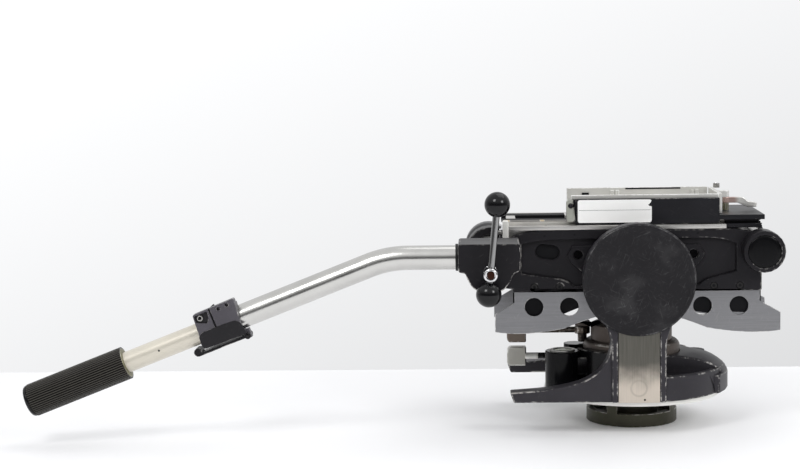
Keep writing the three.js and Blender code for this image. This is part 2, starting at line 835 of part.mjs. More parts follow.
function bossPad(sign) {
  const [x, z, half] = [sign * bossHoleX, bossHoleZ, bossPadHalf];
  return polygon(bossPadShares.map(([out, up]) => [x + sign * out * half, z + up * half]));
}

function ovalCutter() {
  const half = ovalHeight / 2;
  const reach = ovalLength / 2 - half;
  const shape = new THREE.Shape();
  const slant = ovalSlant / 2;
  shape.absarc(ovalX + reach + slant, ovalZ, half, -Math.PI / 2, Math.PI / 2, false);
  shape.absarc(ovalX - reach - slant, ovalZ + slant, half, Math.PI / 2, (3 * Math.PI) / 2, false);
  return slabY(shape, -frameOuter - overrun, -frameInner + overrun, smallFacets / 2);
}

// Holes for the boss screws and the seats of the ledge screws
function frameHoles() {
  const [near, far] = [-frameOuter - overrun, -frameInner + overrun];
  const sunk = -frameOuter + ledgeScrewDepth;
  const bossXs = [-bossHoleX, bossHoleX];
  const bosses = bossXs.map((x) => rodY(x, bossHoleZ, bossHoleRadius, near, far, smallFacets));
  const seats = ledgeScrewXs.map((x) => rodY(x, ledgeScrewZ, ledgeScrewRadius, near, sunk, smallFacets));
  return join(...bosses, ...seats, ovalCutter());
}

// Rear and front cross bosses, and the ear that ties the rear one to the frame
function frameBosses() {
  const [earTop, earLow] = [rearAxisZ + rearBossRadius, rearAxisZ - rearBossRadius];
  const ear = polygon([[-frameRear + rimWidth, earTop], [rearAxisX, earTop], [rearAxisX, earLow],
    [-frameRear - frameEarStep, frameBottom + ledgeScrewRadius], [-frameRear + rimWidth, frameBottom]]);
  return join(
    rodY(rearAxisX, rearAxisZ, rearBossRadius, -crossBossReach, -frameInner),
    rodY(frontAxisX, frontAxisZ, frontBossRadius, -crossBossReach, -frameInner),
    slabY(ear, -frameOuter, -frameInner),
  );
}

// Bores for the axle, the cross tubes, the clamp screw and the plug
function frameBores() {
  const [near, far] = [-crossBossReach - overrun, -frameInner + overrun];
  const tube = crossTubeRadius + clearance;
  return join(
    rodY(0, axisZ, axleRadius + clearance, near, far),
    rodY(rearAxisX, rearAxisZ, tube, -frameOuter, far),
    rodY(frontAxisX, frontAxisZ, tube, -frameOuter, far),
    rodY(rearAxisX, rearAxisZ, screwShankRadius + clearance, near, -frameInner),
    rodY(frontAxisX, frontAxisZ, plugRadius + clearance, near, -crossBossReach + plugDepth + plugSink),
  );
}

function makeSideFrame() {
  const floor = -frameOuter + pocketDepth;
  let frame = slabY(frameShape(0), -frameOuter, -frameInner, curveSteps);
  for (const sign of [-1, 1]) {
    const pocket = slabY(pocketShape(sign), -frameOuter - overrun, floor, curveSteps);
    const pad = slabY(bossPad(sign), -frameOuter + pocketDepth / 3, floor + pocketDepth / 5);
    frame = join(cut(frame, pocket), pad);
  }
  const hub = rodY(0, axisZ, frameHubRadius, floor - frameHubRise, -frameInner, largeFacets);
  return cut(join(cut(join(frame, hub), frameHoles()), frameBosses()), frameBores());
}

function makeSidePlate() {
  const shape = new THREE.Shape();
  const topZ = frameBottom + plateLap;
  shape.moveTo(-plateNotchRear, topZ);
  shape.lineTo(-plateNotchRear, plateNotchZ);
  shape.lineTo(plateRearX, plateShoulderZ);
  shape.lineTo(plateRearX, plateCornerZ);
  const kneeRear = plateKneeShare * plateRearX - plateKneeRise;
  const kneeFront = plateKneeShare * plateFrontX + plateKneeRise;
  const [foldLow, foldHigh] = [plateFoldZ - plateKneeSag, plateFoldZ + plateKneeRise];
  const arch = axisZ - plateArchDrop;
  shape.quadraticCurveTo(kneeRear, foldLow, -ledgeMidX, foldHigh);
  shape.quadraticCurveTo(-plateArchHalf, arch, 0, arch + plateArchRise);
  shape.quadraticCurveTo(plateArchHalf, arch, ledgeMidX, foldHigh);
  shape.quadraticCurveTo(kneeFront, foldLow, plateFrontX, plateCornerZ);
  shape.lineTo(plateFrontX, plateShoulderZ);
  shape.lineTo(plateNotchFront, plateNotchZ);
  shape.lineTo(plateNotchFront, topZ);
  const face = -frameInner + clearance;
  let plate = slabY(shape, face, face + plateThickness, mediumFacets / 2);
  const [near, far] = [-frameInner - overrun, -frameInner + plateThickness + overrun];
  for (const x of plateHoleXs) {
    plate = cut(plate, rodY(x, plateHoleZ, plateHoleRadius, near, far, mediumFacets));
  }
  return cut(plate, rodY(0, axisZ, axleRadius + clearance, near, far, mediumFacets));
}

function makeTiltAxle() {
  return rodY(0, axisZ, axleRadius, -axleHalfLength, axleHalfLength, mediumFacets);
}

function makeBarrel() {
  const half = frameInner - 2 * clearance - plateThickness;
  const inner = barrelRadius - barrelWall;
  const bore = axleRadius + clearance;
  const cap = half - barrelWall;
  return turnedY([[bore, -half], [barrelRadius, -half], [barrelRadius, half], [inner, half], [inner, -cap],
    [bore, -cap], [bore, -half]], 0, axisZ);
}

class Helix extends THREE.Curve {
  getPoint(t, target = new THREE.Vector3()) {
    const turn = 2 * Math.PI * springTurns * t;
    const along = springPitch * springTurns * (t - 0.5);
    return target.set(springRadius * Math.cos(turn), along, axisZ + springRadius * Math.sin(turn));
  }
}

function makeSpring() {
  const section = new THREE.Shape();
  section.absarc(0, 0, springWire, 0, 2 * Math.PI, false);
  const settings = {
    steps: springStepsPerTurn * springTurns,
    bevelEnabled: false,
    curveSegments: springWireSegments,
    extrudePath: new Helix(),
  };
  return solid(new THREE.ExtrudeGeometry(section, settings));
}

function makeCrossTube(x, z) {
  return rodY(x, z, crossTubeRadius, -frameOuter + clearance, frameOuter - clearance, mediumFacets);
}

function makePlug() {
  const face = -crossBossReach + plugSink;
  const back = face + plugDepth - clearance;
  const outline = [[0, face], [plugRadius - plugSink, face], [plugRadius, face + plugSink],
    [plugRadius, back], [0, back]];
  return turnedY(outline, frontAxisX, frontAxisZ, mediumFacets);
}

// Toothed ring between the rear boss and whatever is clamped to it
function makeRosette() {
  const near = -crossBossReach - rosetteHeight;
  const far = -crossBossReach - clearance;
  const outer = rearBossRadius - rosetteTooth;
  const inner = screwShankRadius + clearance;
  let ring = turnedY([[inner, near], [outer, near], [outer, far], [inner, far], [inner, near]], 0, 0);
  const half = rosetteTooth / 2;
  const groove = block(outer / 2, outer + overrun, near - overrun, near + half, -half, half);
  for (let i = 0; i < rosetteTeeth; i += 1) ring = cut(ring, groove.rotate([0, (i * 360) / rosetteTeeth, 0]));
  return ring.translate([rearAxisX, 0, rearAxisZ]);
}

// Rounded cap on the far end of the rear boss
function makeFarCap() {
  const near = crossBossReach + clearance;
  const far = near + farCapDepth;
  const round = farCapRadius / 4;
  return turnedY([[0, near], [farCapRadius - round / 2, near], [farCapRadius, near + round],
    [farCapRadius, far - 2 * round], [farCapRadius - round / 3, far - round],
    [farCapRadius - round, far - round / 3], [farCapRadius - 2 * round, far],
    [0, far]], rearAxisX, rearAxisZ);
}

// Dovetail rails on the deck, with a slot between them
function deckRails() {
  const low = railHalfWidth - railUndercut;
  const foot = deckTop - bite;
  const outline = polygon([[-low, foot], [low, foot], [low, deckTop], [railHalfWidth, railTop],
    [-railHalfWidth, railTop], [-low, deckTop]]);
  const [rear, front] = [deckRear + rimWidth, deckFront - rimWidth];
  return cut(
    slabX(outline, deckRear, deckFront),
    block(rear, front, -plugRadius, plugRadius, deckTop, railTop + overrun),
  );
}

// Lug and pin at the deck's rear end for the slide lock
function deckLug() {
  const [near, far] = [lockY - lockHubRadius, lockY + lockHubRadius];
  const lug = block(deckRear, deckRear + lockThickness, near, far, lockZ - lockHubRadius, deckBottom + bite);
  const tip = deckRear - lockThickness - clearance;
  return join(lug, rodX(lockY, lockZ, lockPinRadius, tip, deckRear + bite, smallFacets));
}

function makeDeck() {
  const base = block(deckRear, deckFront, -deckHalfWidth, deckHalfWidth, deckBottom, deckTop);
  const near = -frameInner + clearance;
  const [low, high] = [frameTop - deckSkirt, deckBottom + bite];
  const skirt = block(deckRear, deckFront, near, near + plateThickness, low, high);
  return join(base, deckRails(), skirt, mirrored(skirt), deckLug());
}

function makeFrontBlock() {
  const low = deckBottom + clearance;
  const rear = deckFront + clearance;
  const deep = blockFront - blockGroove;
  const [first, second, third, fourth] = blockStepShares.map((share) => low + share * (railTop - low));
  const outline = polygon([[rear, low], [blockFront, low], [blockFront, first], [deep, first], [deep, second],
    [blockFront, second], [blockFront, third], [deep, third], [deep, fourth], [blockFront, fourth],
    [blockFront, railTop], [rear, railTop]]);
  const half = railHalfWidth - railUndercut;
  const [left, right] = [deckFront, blockFront + overrun];
  const room = join(
    block(left, right, -deckHalfWidth + pocketDepth, deckHalfWidth - pocketDepth, low - overrun, deckTop),
    block(left, right, -half, half, low, railTop + overrun),
  );
  return slabY(outline, -deckHalfWidth, deckHalfWidth).intersect(room);
}

// Sliding plate, adapter tray and what moves on them

function makeSlidePlate() {
  const base = block(channelRear, plateFront, -plateHalfWidth, plateHalfWidth, plateBottom, plateTop);
  const skirtLow = deckTop + clearance;
  const outer = channelHalfWidth;
  const wallInner = channelHalfWidth - channelWall;
  const topGrip = railHalfWidth + clearance;
  const lowGrip = topGrip - railUndercut;
  const half = polygon([[-plateHalfWidth + overrun, plateTop], [-wallInner, plateTop],
    [-wallInner, channelTop], [-outer, channelTop], [-outer, skirtLow], [-lowGrip, skirtLow],
    [-topGrip, railTop], [-topGrip, plateBottom], [-plateHalfWidth + overrun, plateBottom]]);
  const wall = slabX(half, channelRear, channelFront);
  const trayRoom = block(trayRear - clearance, catchX + catchWidth, -wallInner, wallInner, plateTop, trayTop);
  return join(base, wall, mirrored(wall), cut(catchBracket(), trayRoom));
}

function makeTray() {
  const outer = channelHalfWidth - channelWall - clearance;
  const low = plateTop + clearance;
  const floor = low + trayFloor;
  const inner = outer - trayWall;
  const rise = trayTop - low;
  const tray = slabX(polygon([[-outer, low], [outer, low], [outer, trayTop], [inner, trayTop],
    [inner, floor], [-inner, floor], [-inner, trayTop], [-outer, trayTop]]), trayRear, channelFront);
  const [near, far] = [-inner - bite, trayRib - inner];
  const ribs = trayRibXs.map((x) => block(x, x + trayRibWidth, near, far, floor - bite, trayTop - rise / 8));
  return join(tray, ...ribs, ...ribs.map(mirrored));
}

const trayLow = plateTop + clearance;
const endLugLow = trayTop - endLugThickness;
const leverHigh = endLugLow - clearance;
const leverLow = leverHigh - leverThickness;

// The end block's lug reaches over the lever, and its pin hangs through lever and nut
function makeEndBlock() {
  const left = channelFront + clearance;
  const wall = block(left, left + endWall, -endHalfWidth, endHalfWidth, trayLow, trayTop);
  const [near, far] = [leverPivotY - endLugRadius, leverPivotY + endLugRadius];
  const lug = join(
    block(left, leverPivotX, near, far, endLugLow, trayTop),
    rodZ(leverPivotX, leverPivotY, endLugRadius, endLugLow, trayTop, smallFacets),
  );
  const pin = rodZ(leverPivotX, leverPivotY, leverPinRadius, trayLow, endLugLow + endWall / 2, smallFacets);
  return join(wall, lug, pin);
}

function makePivotNut() {
  const nut = rodZ(leverPivotX, leverPivotY, leverNutRadius, trayLow, leverLow - clearance, smallFacets);
  const [low, high] = [trayLow - overrun, leverLow + overrun];
  return cut(nut, rodZ(leverPivotX, leverPivotY, leverPinRadius + clearance, low, high, smallFacets));
}

function makeAdapterLever() {
  const hub = rodZ(leverPivotX, leverPivotY, leverHubRadius, leverLow, leverHigh, smallFacets);
  const [knee, toe] = leverKneeShares.map((share) => leverPivotX + share * leverLength);
  const end = leverPivotX + leverLength;
  const half = leverWidth / 2;
  const outline = polygon([[leverPivotX, leverLow], [knee, leverLow], [toe, leverLow - leverDrop],
    [end, leverLow - leverDrop], [end, leverHigh - leverToeShare * leverDrop], [toe, leverHigh - leverDrop],
    [(knee + toe) / 2, leverHigh], [leverPivotX, leverHigh]]);
  const arm = slabY(outline, leverPivotY - half, leverPivotY + half);
  const [low, high] = [leverLow - overrun, leverHigh + overrun];
  const bore = rodZ(leverPivotX, leverPivotY, leverPinRadius + clearance, low, high, smallFacets);
  return cut(join(hub, arm), bore);
}

// Ear and pin at the rear end of the channel, for the thumb catch
function catchBracket() {
  const [near, far] = [catchFar + clearance, catchFar + channelWall / 2];
  const ear = block(catchX - catchPinRadius, channelRear + bite, near, far, plateTop - bite, catchTop);
  const pin = rodY(catchX, catchPinZ, catchPinRadius, catchNear, (near + far) / 2, smallFacets);
  return join(ear, pin);
}

function makeThumbCatch() {
  const [left, right] = [catchX - catchWidth / 2, catchX + catchWidth / 2];
  const round = catchWidth / 4;
  const outline = polygon([[left, catchBottom + round], [left + round, catchBottom],
    [right - round, catchBottom], [right, catchBottom + round], [right - catchTaper, catchPinZ],
    [right - round, catchTop], [left + round, catchTop], [left, catchTop - round]]);
  const [near, far] = [catchNear - overrun, catchFar + overrun];
  const bore = rodY(catchX, catchPinZ, catchPinRadius + clearance, near, far, smallFacets);
  return cut(slabY(outline, catchNear, catchFar), bore);
}

function makeLockLever() {
  const right = deckRear - clearance;
  const left = right - lockThickness;
  const hub = rodX(lockY, lockZ, lockHubRadius, left, right, smallFacets);
  const [near, far] = [lockY - lockPinRadius, lockY + lockPinRadius];
  const arm = block(left, left + lockThickness / 2, near, far, lockZ - lockHubRadius - lockArm, lockZ);
  const bore = rodX(lockY, lockZ, lockPinRadius + clearance, left - overrun, right + overrun, smallFacets);
  return cut(join(hub, arm), bore);
}

// Pan bar, drawn about the rear boss axis

function makeClamp() {
  const outline = new THREE.Shape();
  outline.moveTo(-clampRear, -clampLower);
  outline.lineTo(-bellRadius, -clampLower);
  outline.absarc(0, 0, bellRadius, Math.PI, 2 * Math.PI, false);
  outline.lineTo(clampFront, -clampLower);
  outline.lineTo(clampFront, clampTop - clampEdge);
  outline.lineTo(clampFront - clampEdge, clampTop);
  outline.lineTo(-clampRear + clampEdge, clampTop);
  outline.lineTo(-clampRear, clampTop - clampEdge);
  const body = slabY(outline, clampNear, clampFar, smallFacets);
  const screw = rodY(0, 0, screwBoreRadius, clampNear - overrun, clampFar + overrun);
  const [left, right] = [-clampRear - overrun, -clampRear + barSeat];
  const seat = rodX(barCentreY, barCentreRise, barRadius + clearance, left, right);
  const [near, far] = [barCentreY - blockSlit / 2, barCentreY + blockSlit / 2];
  const slit = block(left, right, near, far, barCentreRise, clampTop + overrun);
  return cut(body, screw, seat, slit);
}

function makeCollar() {
  const part = ringZ(barRadius + clearance, collarRadius, 0, collarThickness);
  const left = -clampRear - collarThickness - clearance;
  return part.rotate([0, 90, 0]).translate([left, barCentreY, barCentreRise]);
}

// Places along the bar's centre line, each with its distance from the bend's corner and its turn
function barStations() {
  const stations = [{ x: -clampRear + barSeat - 2 * clearance, z: 0, turn: 0 }];
  for (let i = 0; i <= curveSteps; i += 1) {
    const share = i / curveSteps;
    const from = (1 - share) ** 2 * bendTangent;
    const to = share ** 2 * bendTangent;
    const x = -barCornerReach + from - to * Math.cos(barIncline);
    stations.push({ x, z: -to * Math.sin(barIncline), turn: share * barIncline });
  }
  const x = -barCornerReach - barEnd * Math.cos(barIncline);
  stations.push({ x, z: -barEnd * Math.sin(barIncline), turn: barIncline });
  return stations;
}

// The same stations with both ends carried on by the overrun
function lengthened(stations) {
  const [first, last] = [stations[0], stations[stations.length - 1]];
  const before = { ...first, x: first.x + overrun };
  const [outX, outZ] = [overrun * Math.cos(last.turn), overrun * Math.sin(last.turn)];
  const after = { ...last, x: last.x - outX, z: last.z - outZ };
  return [before, ...stations.slice(1, -1), after];
}

// A rod of one radius along the stations, closed at both ends
function sweptRod(stations, radius) {
  const positions = [];
  for (const { x, z, turn } of stations) {
    for (let i = 0; i < mediumFacets; i += 1) {
      const angle = (2 * Math.PI * i) / mediumFacets;
      const [side, up] = [radius * Math.cos(angle), radius * Math.sin(angle)];
      positions.push(x - up * Math.sin(turn), side, z + up * Math.cos(turn));
    }
  }
  const corners = [];
  for (let ring = 1; ring < stations.length; ring += 1) {
    for (let i = 0; i < mediumFacets; i += 1) {
      const next = (i + 1) % mediumFacets;
      const [low, high] = [(ring - 1) * mediumFacets, ring * mediumFacets];
      corners.push(low + i, high + i, low + next, low + next, high + i, high + next);
    }
  }
  const last = (stations.length - 1) * mediumFacets;
  for (let i = 2; i < mediumFacets; i += 1) {
    corners.push(0, i - 1, i);
    corners.push(last, last + i, last + i - 1);
  }
  const geometry = new THREE.BufferGeometry();
  geometry.setAttribute("position", new THREE.BufferAttribute(Float32Array.from(positions), 3));
  geometry.setIndex(corners);
  return solid(geometry);
}

function makeBarTube() {
  const stations = barStations();
  const tube = cut(sweptRod(stations, barRadius), sweptRod(lengthened(stations), barBore));
  return tube.translate([0, barCentreY, barCentreRise]);
}

// What lies on the straight stretch is drawn along X from the corner of the bend

const camPinX = -blockNearEnd - camHubRadius;
const camPinZ = -blockFoot - camHubRadius - clearance;

function makeTelescopeBlock() {
  const [deep, bevel] = [blockHalfDepth, blockChamfer];
  const section = polygon([[-deep, bevel - blockFoot], [bevel / 2 - deep, -blockFoot],
    [deep - bevel / 2, -blockFoot], [deep, bevel - blockFoot], [deep, blockTop], [-deep, blockTop]]);
  const body = slabX(section, -blockFarEnd, -blockNearEnd);
  const wide = rodX(0, 0, barRadius + clearance, -barEnd - clearance, -blockNearEnd + overrun);
  const narrow = rodX(0, 0, innerRadius + clearance, -blockFarEnd - overrun, -blockNearEnd);
  const half = blockSlit / 2;
  const high = blockTop + overrun;
  const [left, right] = [-blockSlitAt - half, -blockSlitAt + half];
  const slit = block(left, right, -deep - overrun, deep + overrun, -bevel / 4, high);
  const gap = block(-blockFarEnd - overrun, -blockSlitAt, -half, half, 0, high);
  const earHalf = camLeverWidth / 4;
  const [earLow, earHigh] = [camPinZ - camHubRadius, bevel / 4 - blockFoot];
  const ear = block(camPinX - camHubRadius, -blockNearEnd, -earHalf, earHalf, earLow, earHigh);
  const pin = rodY(camPinX, camPinZ, camPinRadius, -camLeverWidth / 2, camLeverWidth / 2, smallFacets);
  return join(cut(body, wide, narrow, slit, gap), ear, pin);
}

function makeCamLever() {
  const half = camLeverWidth / 2;
  const thick = camLeverThickness / 2;
  const hub = rodY(camPinX, camPinZ, camHubRadius, -half, half, smallFacets);
  const end = -blockFarEnd - camTipReach;
  const bar = block(end, camPinX, -half, half, camPinZ - thick, camPinZ + thick);
  const tip = rodY(end, camPinZ + camTipRadius - thick, camTipRadius, -half, half, smallFacets);
  const room = 2 * camHubRadius;
  const earHalf = camLeverWidth / 4 + clearance;
  const earGap = block(camPinX - room, camPinX + room, -earHalf, earHalf, camPinZ - room, camPinZ + room);
  const bore = rodY(camPinX, camPinZ, camPinRadius + clearance, -half - overrun, half + overrun, smallFacets);
  return cut(join(hub, bar, tip), earGap, bore);
}

function makeInnerTube() {
  const part = ringZ(innerBore, innerRadius, innerStart, gripEnd - gripCap, mediumFacets);
  return part.rotate([0, -90, 0]);
}

function makeGrip() {
  const shape = new THREE.Shape();
  const steps = 4;
  for (let i = 0; i <= steps * gripFlutes; i += 1) {
    const turn = (2 * Math.PI * i) / (steps * gripFlutes);
    const radius = gripRadius - (i % steps < steps / 2 ? 0 : fluteDepth);
    const [x, y] = [radius * Math.cos(turn), radius * Math.sin(turn)];
    if (i) shape.lineTo(x, y);
    else shape.moveTo(x, y);
  }
  const hole = new THREE.Path();
  hole.absarc(0, 0, innerRadius + clearance, 0, 2 * Math.PI, true);
  shape.holes.push(hole);
  const [from, to] = [-gripEnd + gripCap + clearance, -gripStart - gripCollar - clearance];
  return slabX(shape, from, to, smallFacets);
}

function makeGripCollar() {
  const outer = gripRadius - fluteDepth;
  const edge = gripStart + gripCollar / 2;
  const part = turnedZ([[innerRadius + clearance, gripStart], [gripBore, gripStart], [outer, edge],
    [outer, gripStart + gripCollar], [innerRadius + clearance, gripStart + gripCollar],
    [innerRadius + clearance, gripStart]], mediumFacets);
  return part.rotate([0, -90, 0]);
}

function makeGripCap() {
  const outer = gripRadius - fluteDepth / 2;
  const edge = gripEnd - gripCap / 2;
  const inner = gripEnd - gripCap + clearance;
  const outline = [[0, inner], [outer, inner], [outer, edge], [outer - gripCap / 3, gripEnd], [0, gripEnd]];
  const part = turnedZ(outline, mediumFacets);
  return part.rotate([0, -90, 0]);
}

// Clamp screw and tommy bar, drawn about the rear boss axis

function makeClampScrew() {
  const neck = clampNear - clearance;
  const end = neck + screwDepth + clearance;
  const recess = screwHubNear + screwRecess;
  const outline = [[0, recess], [screwRecessRadius, recess], [screwRecessRadius, screwHubNear],
    [screwHubRadius - screwEdge, screwHubNear], [screwHubRadius, screwHubNear + screwEdge],
    [screwHubRadius, neck], [screwShankRadius, neck], [screwShankRadius, end], [0, end]];
  const hub = turnedY(outline, 0, 0, mediumFacets);
  const reach = screwHubRadius + overrun;
  const bore = rodZ(0, tommyY, tommyRadius + clearance, -reach, reach, smallFacets);
  return cut(hub, bore.rotate([0, THREE.MathUtils.radToDeg(tommyLean), 0]));
}

const lowerBallReach = screwHubRadius + ballRadius + lowerBallGap;

function makeTommyRod() {
  return rodZ(0, 0, tommyRadius, -lowerBallReach, upperBallReach, smallFacets);
}

function makeBall(reach, sign) {
  const ball = solid(new THREE.SphereGeometry(ballRadius, mediumFacets, smallFacets));
  const turned = ball.rotate([90, 0, 0]).translate([0, 0, reach]);
  const inner = reach - sign * ballRadius;
  const [from, to] = [inner - sign * overrun, reach + sign * clearance].sort((a, b) => a - b);
  return cut(turned, rodZ(0, 0, tommyRadius + clearance, from, to, smallFacets));
}

// The assembly
const head = new THREE.Group();

const base = new THREE.Group();
head.add(base);
piece("spigot_ring", makeSpigotRing(), ringMetal, base);
piece("base_flange", makeBaseFlange(), brightMetal, base);
piece("pan_shaft", makePanShaft(), brightMetal, base);
piece("pan_drag_stator", makePanStator(), bronzeMetal, base);

const panBody = new THREE.Group();
head.add(panBody);
piece("yoke_casting", makeYokeCasting(), castingPaint, panBody);
piece("pan_housing", makePanHousing(), bronzeMetal, panBody);
piece("pan_bearing_lower", makePanBearing(flangeTop + panShaftFoot + clearance), brightMetal, panBody);
const upperBearingLow = upperBearingTop - panBearingWidth - clearance;
piece("pan_bearing_upper", makePanBearing(upperBearingLow), brightMetal, panBody);
piece("pan_drag_rotor", makePanRotor(), bronzeMetal, panBody);
piece("level_bezel", makeLevelBezel(), brightMetal, panBody);
piece("level_vial", makeLevelVial(), levelGlass, panBody);
piece("brake_post", makeBrakePost(), bronzeMetal, panBody);
const nearSide = [
  ["yoke_face_plate", makeFacePlate(), brushedMetal],
  ["drum_cover", makeDrumCover(), castingPaint],
  ["tilt_bearing", makeTiltBearing(), brightMetal],
  ["tilt_drag_stator", makeTiltStator(), bronzeMetal],
];
for (const [name, part, material] of nearSide) {
  piece(`${name}_near`, part, material, panBody);
  piece(`${name}_far`, mirrored(part), material, panBody);
}

piece("pan_brake_lever", makePanBrakeLever(), brightMetal, head);
piece("tilt_brake_lever", makeTiltBrakeLever(), brightMetal, head);
piece("pan_drag_knob", makeDragKnob(), mattBlack, head);

const platform = new THREE.Group();
head.add(platform);
const platformSide = [
  ["side_frame", makeSideFrame(), castingPaint],
  ["side_plate", makeSidePlate(), brushedMetal],
  ["tilt_drag_rotor", makeTiltRotor(), bronzeMetal],
  ["front_plug", makePlug(), mattBlack],
];
for (const [name, part, material] of platformSide) {
  piece(`${name}_near`, part, material, platform);
  piece(`${name}_far`, mirrored(part), material, platform);
}
piece("tilt_axle", makeTiltAxle(), brightMetal, platform);
piece("spring_barrel", makeBarrel(), bronzeMetal, platform);
piece("counterbalance_spring", makeSpring(), brightMetal, platform);
piece("rear_cross_tube", makeCrossTube(rearAxisX, rearAxisZ), brightMetal, platform);
piece("front_cross_tube", makeCrossTube(frontAxisX, frontAxisZ), brightMetal, platform);
piece("rear_rosette", makeRosette(), brightMetal, platform);
piece("rear_cap_far", makeFarCap(), castingPaint, platform);
piece("deck", makeDeck(), brushedMetal, platform);
piece("front_block", makeFrontBlock(), mattBlack, platform);
piece("slide_lock_lever", makeLockLever(), chromeMetal, head);

const slide = new THREE.Group();
head.add(slide);
piece("slide_plate", makeSlidePlate(), mattBlack, slide);
piece("adapter_tray", makeTray(), brightMetal, slide);
piece("adapter_end_block", makeEndBlock(), brightMetal, slide);
piece("lever_pivot_nut", makePivotNut(), bronzeMetal, slide);
piece("adapter_lever", makeAdapterLever(), brushedMetal, head);
piece("thumb_catch", makeThumbCatch(), brightMetal, head);

const panBar = new THREE.Group();
panBar.position.set(rearAxisX, 0, rearAxisZ);
head.add(panBar);
piece("bar_clamp", makeClamp(), castingPaint, panBar);
piece("bar_collar", makeCollar(), mattBlack, panBar);
piece("bar_tube", makeBarTube(), chromeMetal, panBar);
piece("clamp_screw", makeClampScrew(), chromeMetal, panBar);

const tommyBar = new THREE.Group();
tommyBar.position.set(0, tommyY, 0);
tommyBar.rotation.y = tommyLean;
panBar.add(tommyBar);
piece("tommy_rod", makeTommyRod(), chromeMetal, tommyBar);
piece("tommy_ball_upper", makeBall(upperBallReach, 1), glossBlack, tommyBar);
piece("tommy_ball_lower", makeBall(-lowerBallReach, -1), glossBlack, tommyBar);

const straight = new THREE.Group();
straight.position.set(-barCornerReach, barCentreY, barCentreRise);
straight.rotation.y = -barIncline;
panBar.add(straight);
piece("telescope_block", makeTelescopeBlock(), castingPaint, straight);
piece("cam_lever", makeCamLever(), mattBlack, straight);
piece("inner_tube", makeInnerTube(), creamTube, straight);
piece("grip_collar", makeGripCollar(), brushedMetal, straight);
piece("handle_grip", makeGrip(), glossBlack, straight);
piece("grip_end_cap", makeGripCap(), glossBlack, straight);

export default head;
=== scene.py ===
"""A fluid video head with its pan bar, dressed for a studio picture."""

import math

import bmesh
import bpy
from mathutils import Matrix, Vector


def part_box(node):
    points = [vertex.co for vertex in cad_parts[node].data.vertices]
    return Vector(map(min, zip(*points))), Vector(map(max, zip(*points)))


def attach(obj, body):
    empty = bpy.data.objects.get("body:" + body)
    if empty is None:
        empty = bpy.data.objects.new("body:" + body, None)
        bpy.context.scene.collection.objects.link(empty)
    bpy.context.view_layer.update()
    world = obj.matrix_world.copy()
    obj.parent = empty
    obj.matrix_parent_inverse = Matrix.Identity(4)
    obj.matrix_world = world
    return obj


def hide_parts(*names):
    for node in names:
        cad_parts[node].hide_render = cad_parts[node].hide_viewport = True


bl_info = {
    "name": "Fluid Video Head",
    "version": (1, 0, 0),
    "blender": (4, 5, 0),
    "location": "3D View > Sidebar > Video Head",
    "description": "Builds the visible pieces, finishes and studio of a fluid video head",
    "category": "Object",
}

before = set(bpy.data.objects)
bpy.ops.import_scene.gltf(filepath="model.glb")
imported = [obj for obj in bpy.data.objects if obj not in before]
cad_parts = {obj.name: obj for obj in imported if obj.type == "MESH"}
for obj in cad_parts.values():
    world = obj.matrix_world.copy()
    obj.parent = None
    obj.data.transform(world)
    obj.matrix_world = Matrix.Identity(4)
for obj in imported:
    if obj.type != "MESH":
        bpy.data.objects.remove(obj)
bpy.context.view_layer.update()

# Main axes in metres, and the directions of the bars
TILT_AXIS = Vector((0, 0, 0.1585))
FRONT_AXIS = Vector((0.1255, 0, 0.183))
BAR_CORNER = Vector((-0.2469, -0.112, 0.185))
BAR_INCLINE = math.radians(21.3)
BAR_OUT = Vector((-math.cos(BAR_INCLINE), 0, -math.sin(BAR_INCLINE)))
BAR_RISE = Vector((-math.sin(BAR_INCLINE), 0, math.cos(BAR_INCLINE)))
BAR_FRAME = Matrix.Translation(BAR_CORNER) @ Matrix.Rotation(-BAR_INCLINE, 4, "Y")
TOMMY_FOOT = Vector((-0.1465, -0.151, 0.1728))
TOMMY_LEAN = math.radians(5.9)
TOMMY_UP = Vector((math.sin(TOMMY_LEAN), 0, math.cos(TOMMY_LEAN)))
FRAME_FACE = 0.060

SIDES = (("near", -1), ("far", 1))
SHARP_EDGE = math.radians(32)   # edges sharper than this are rounded
SMOOTH_EDGE = math.radians(38)  # edges blunter than this are shaded smooth
MERGE = 0.00012                 # corners of a CAD mesh closer than this are one
FINISHES = {}


# Sizes and colours a user would change

class HeadSizes(bpy.types.PropertyGroup):
    """Sizes of edges and repeated forms."""

    casting_edge: bpy.props.FloatProperty(
        name="Casting edge", description="Width of the rounded edges of the castings",
        default=0.0015, min=0.0002, unit="LENGTH")
    plate_edge: bpy.props.FloatProperty(
        name="Plate edge", description="Width of the rounded edges of plates and rails",
        default=0.0006, min=0.0001, unit="LENGTH")
    facets: bpy.props.IntProperty(
        name="Facets", description="Facets round a turned piece", default=96, min=24, max=192)
    grip_flutes: bpy.props.IntProperty(
        name="Grip flutes", description="Flutes round the handle grip", default=44, min=12, max=96)
    flute_depth: bpy.props.FloatProperty(
        name="Flute depth", description="Depth of the flutes of the grip",
        default=0.0012, min=0.0001, unit="LENGTH")


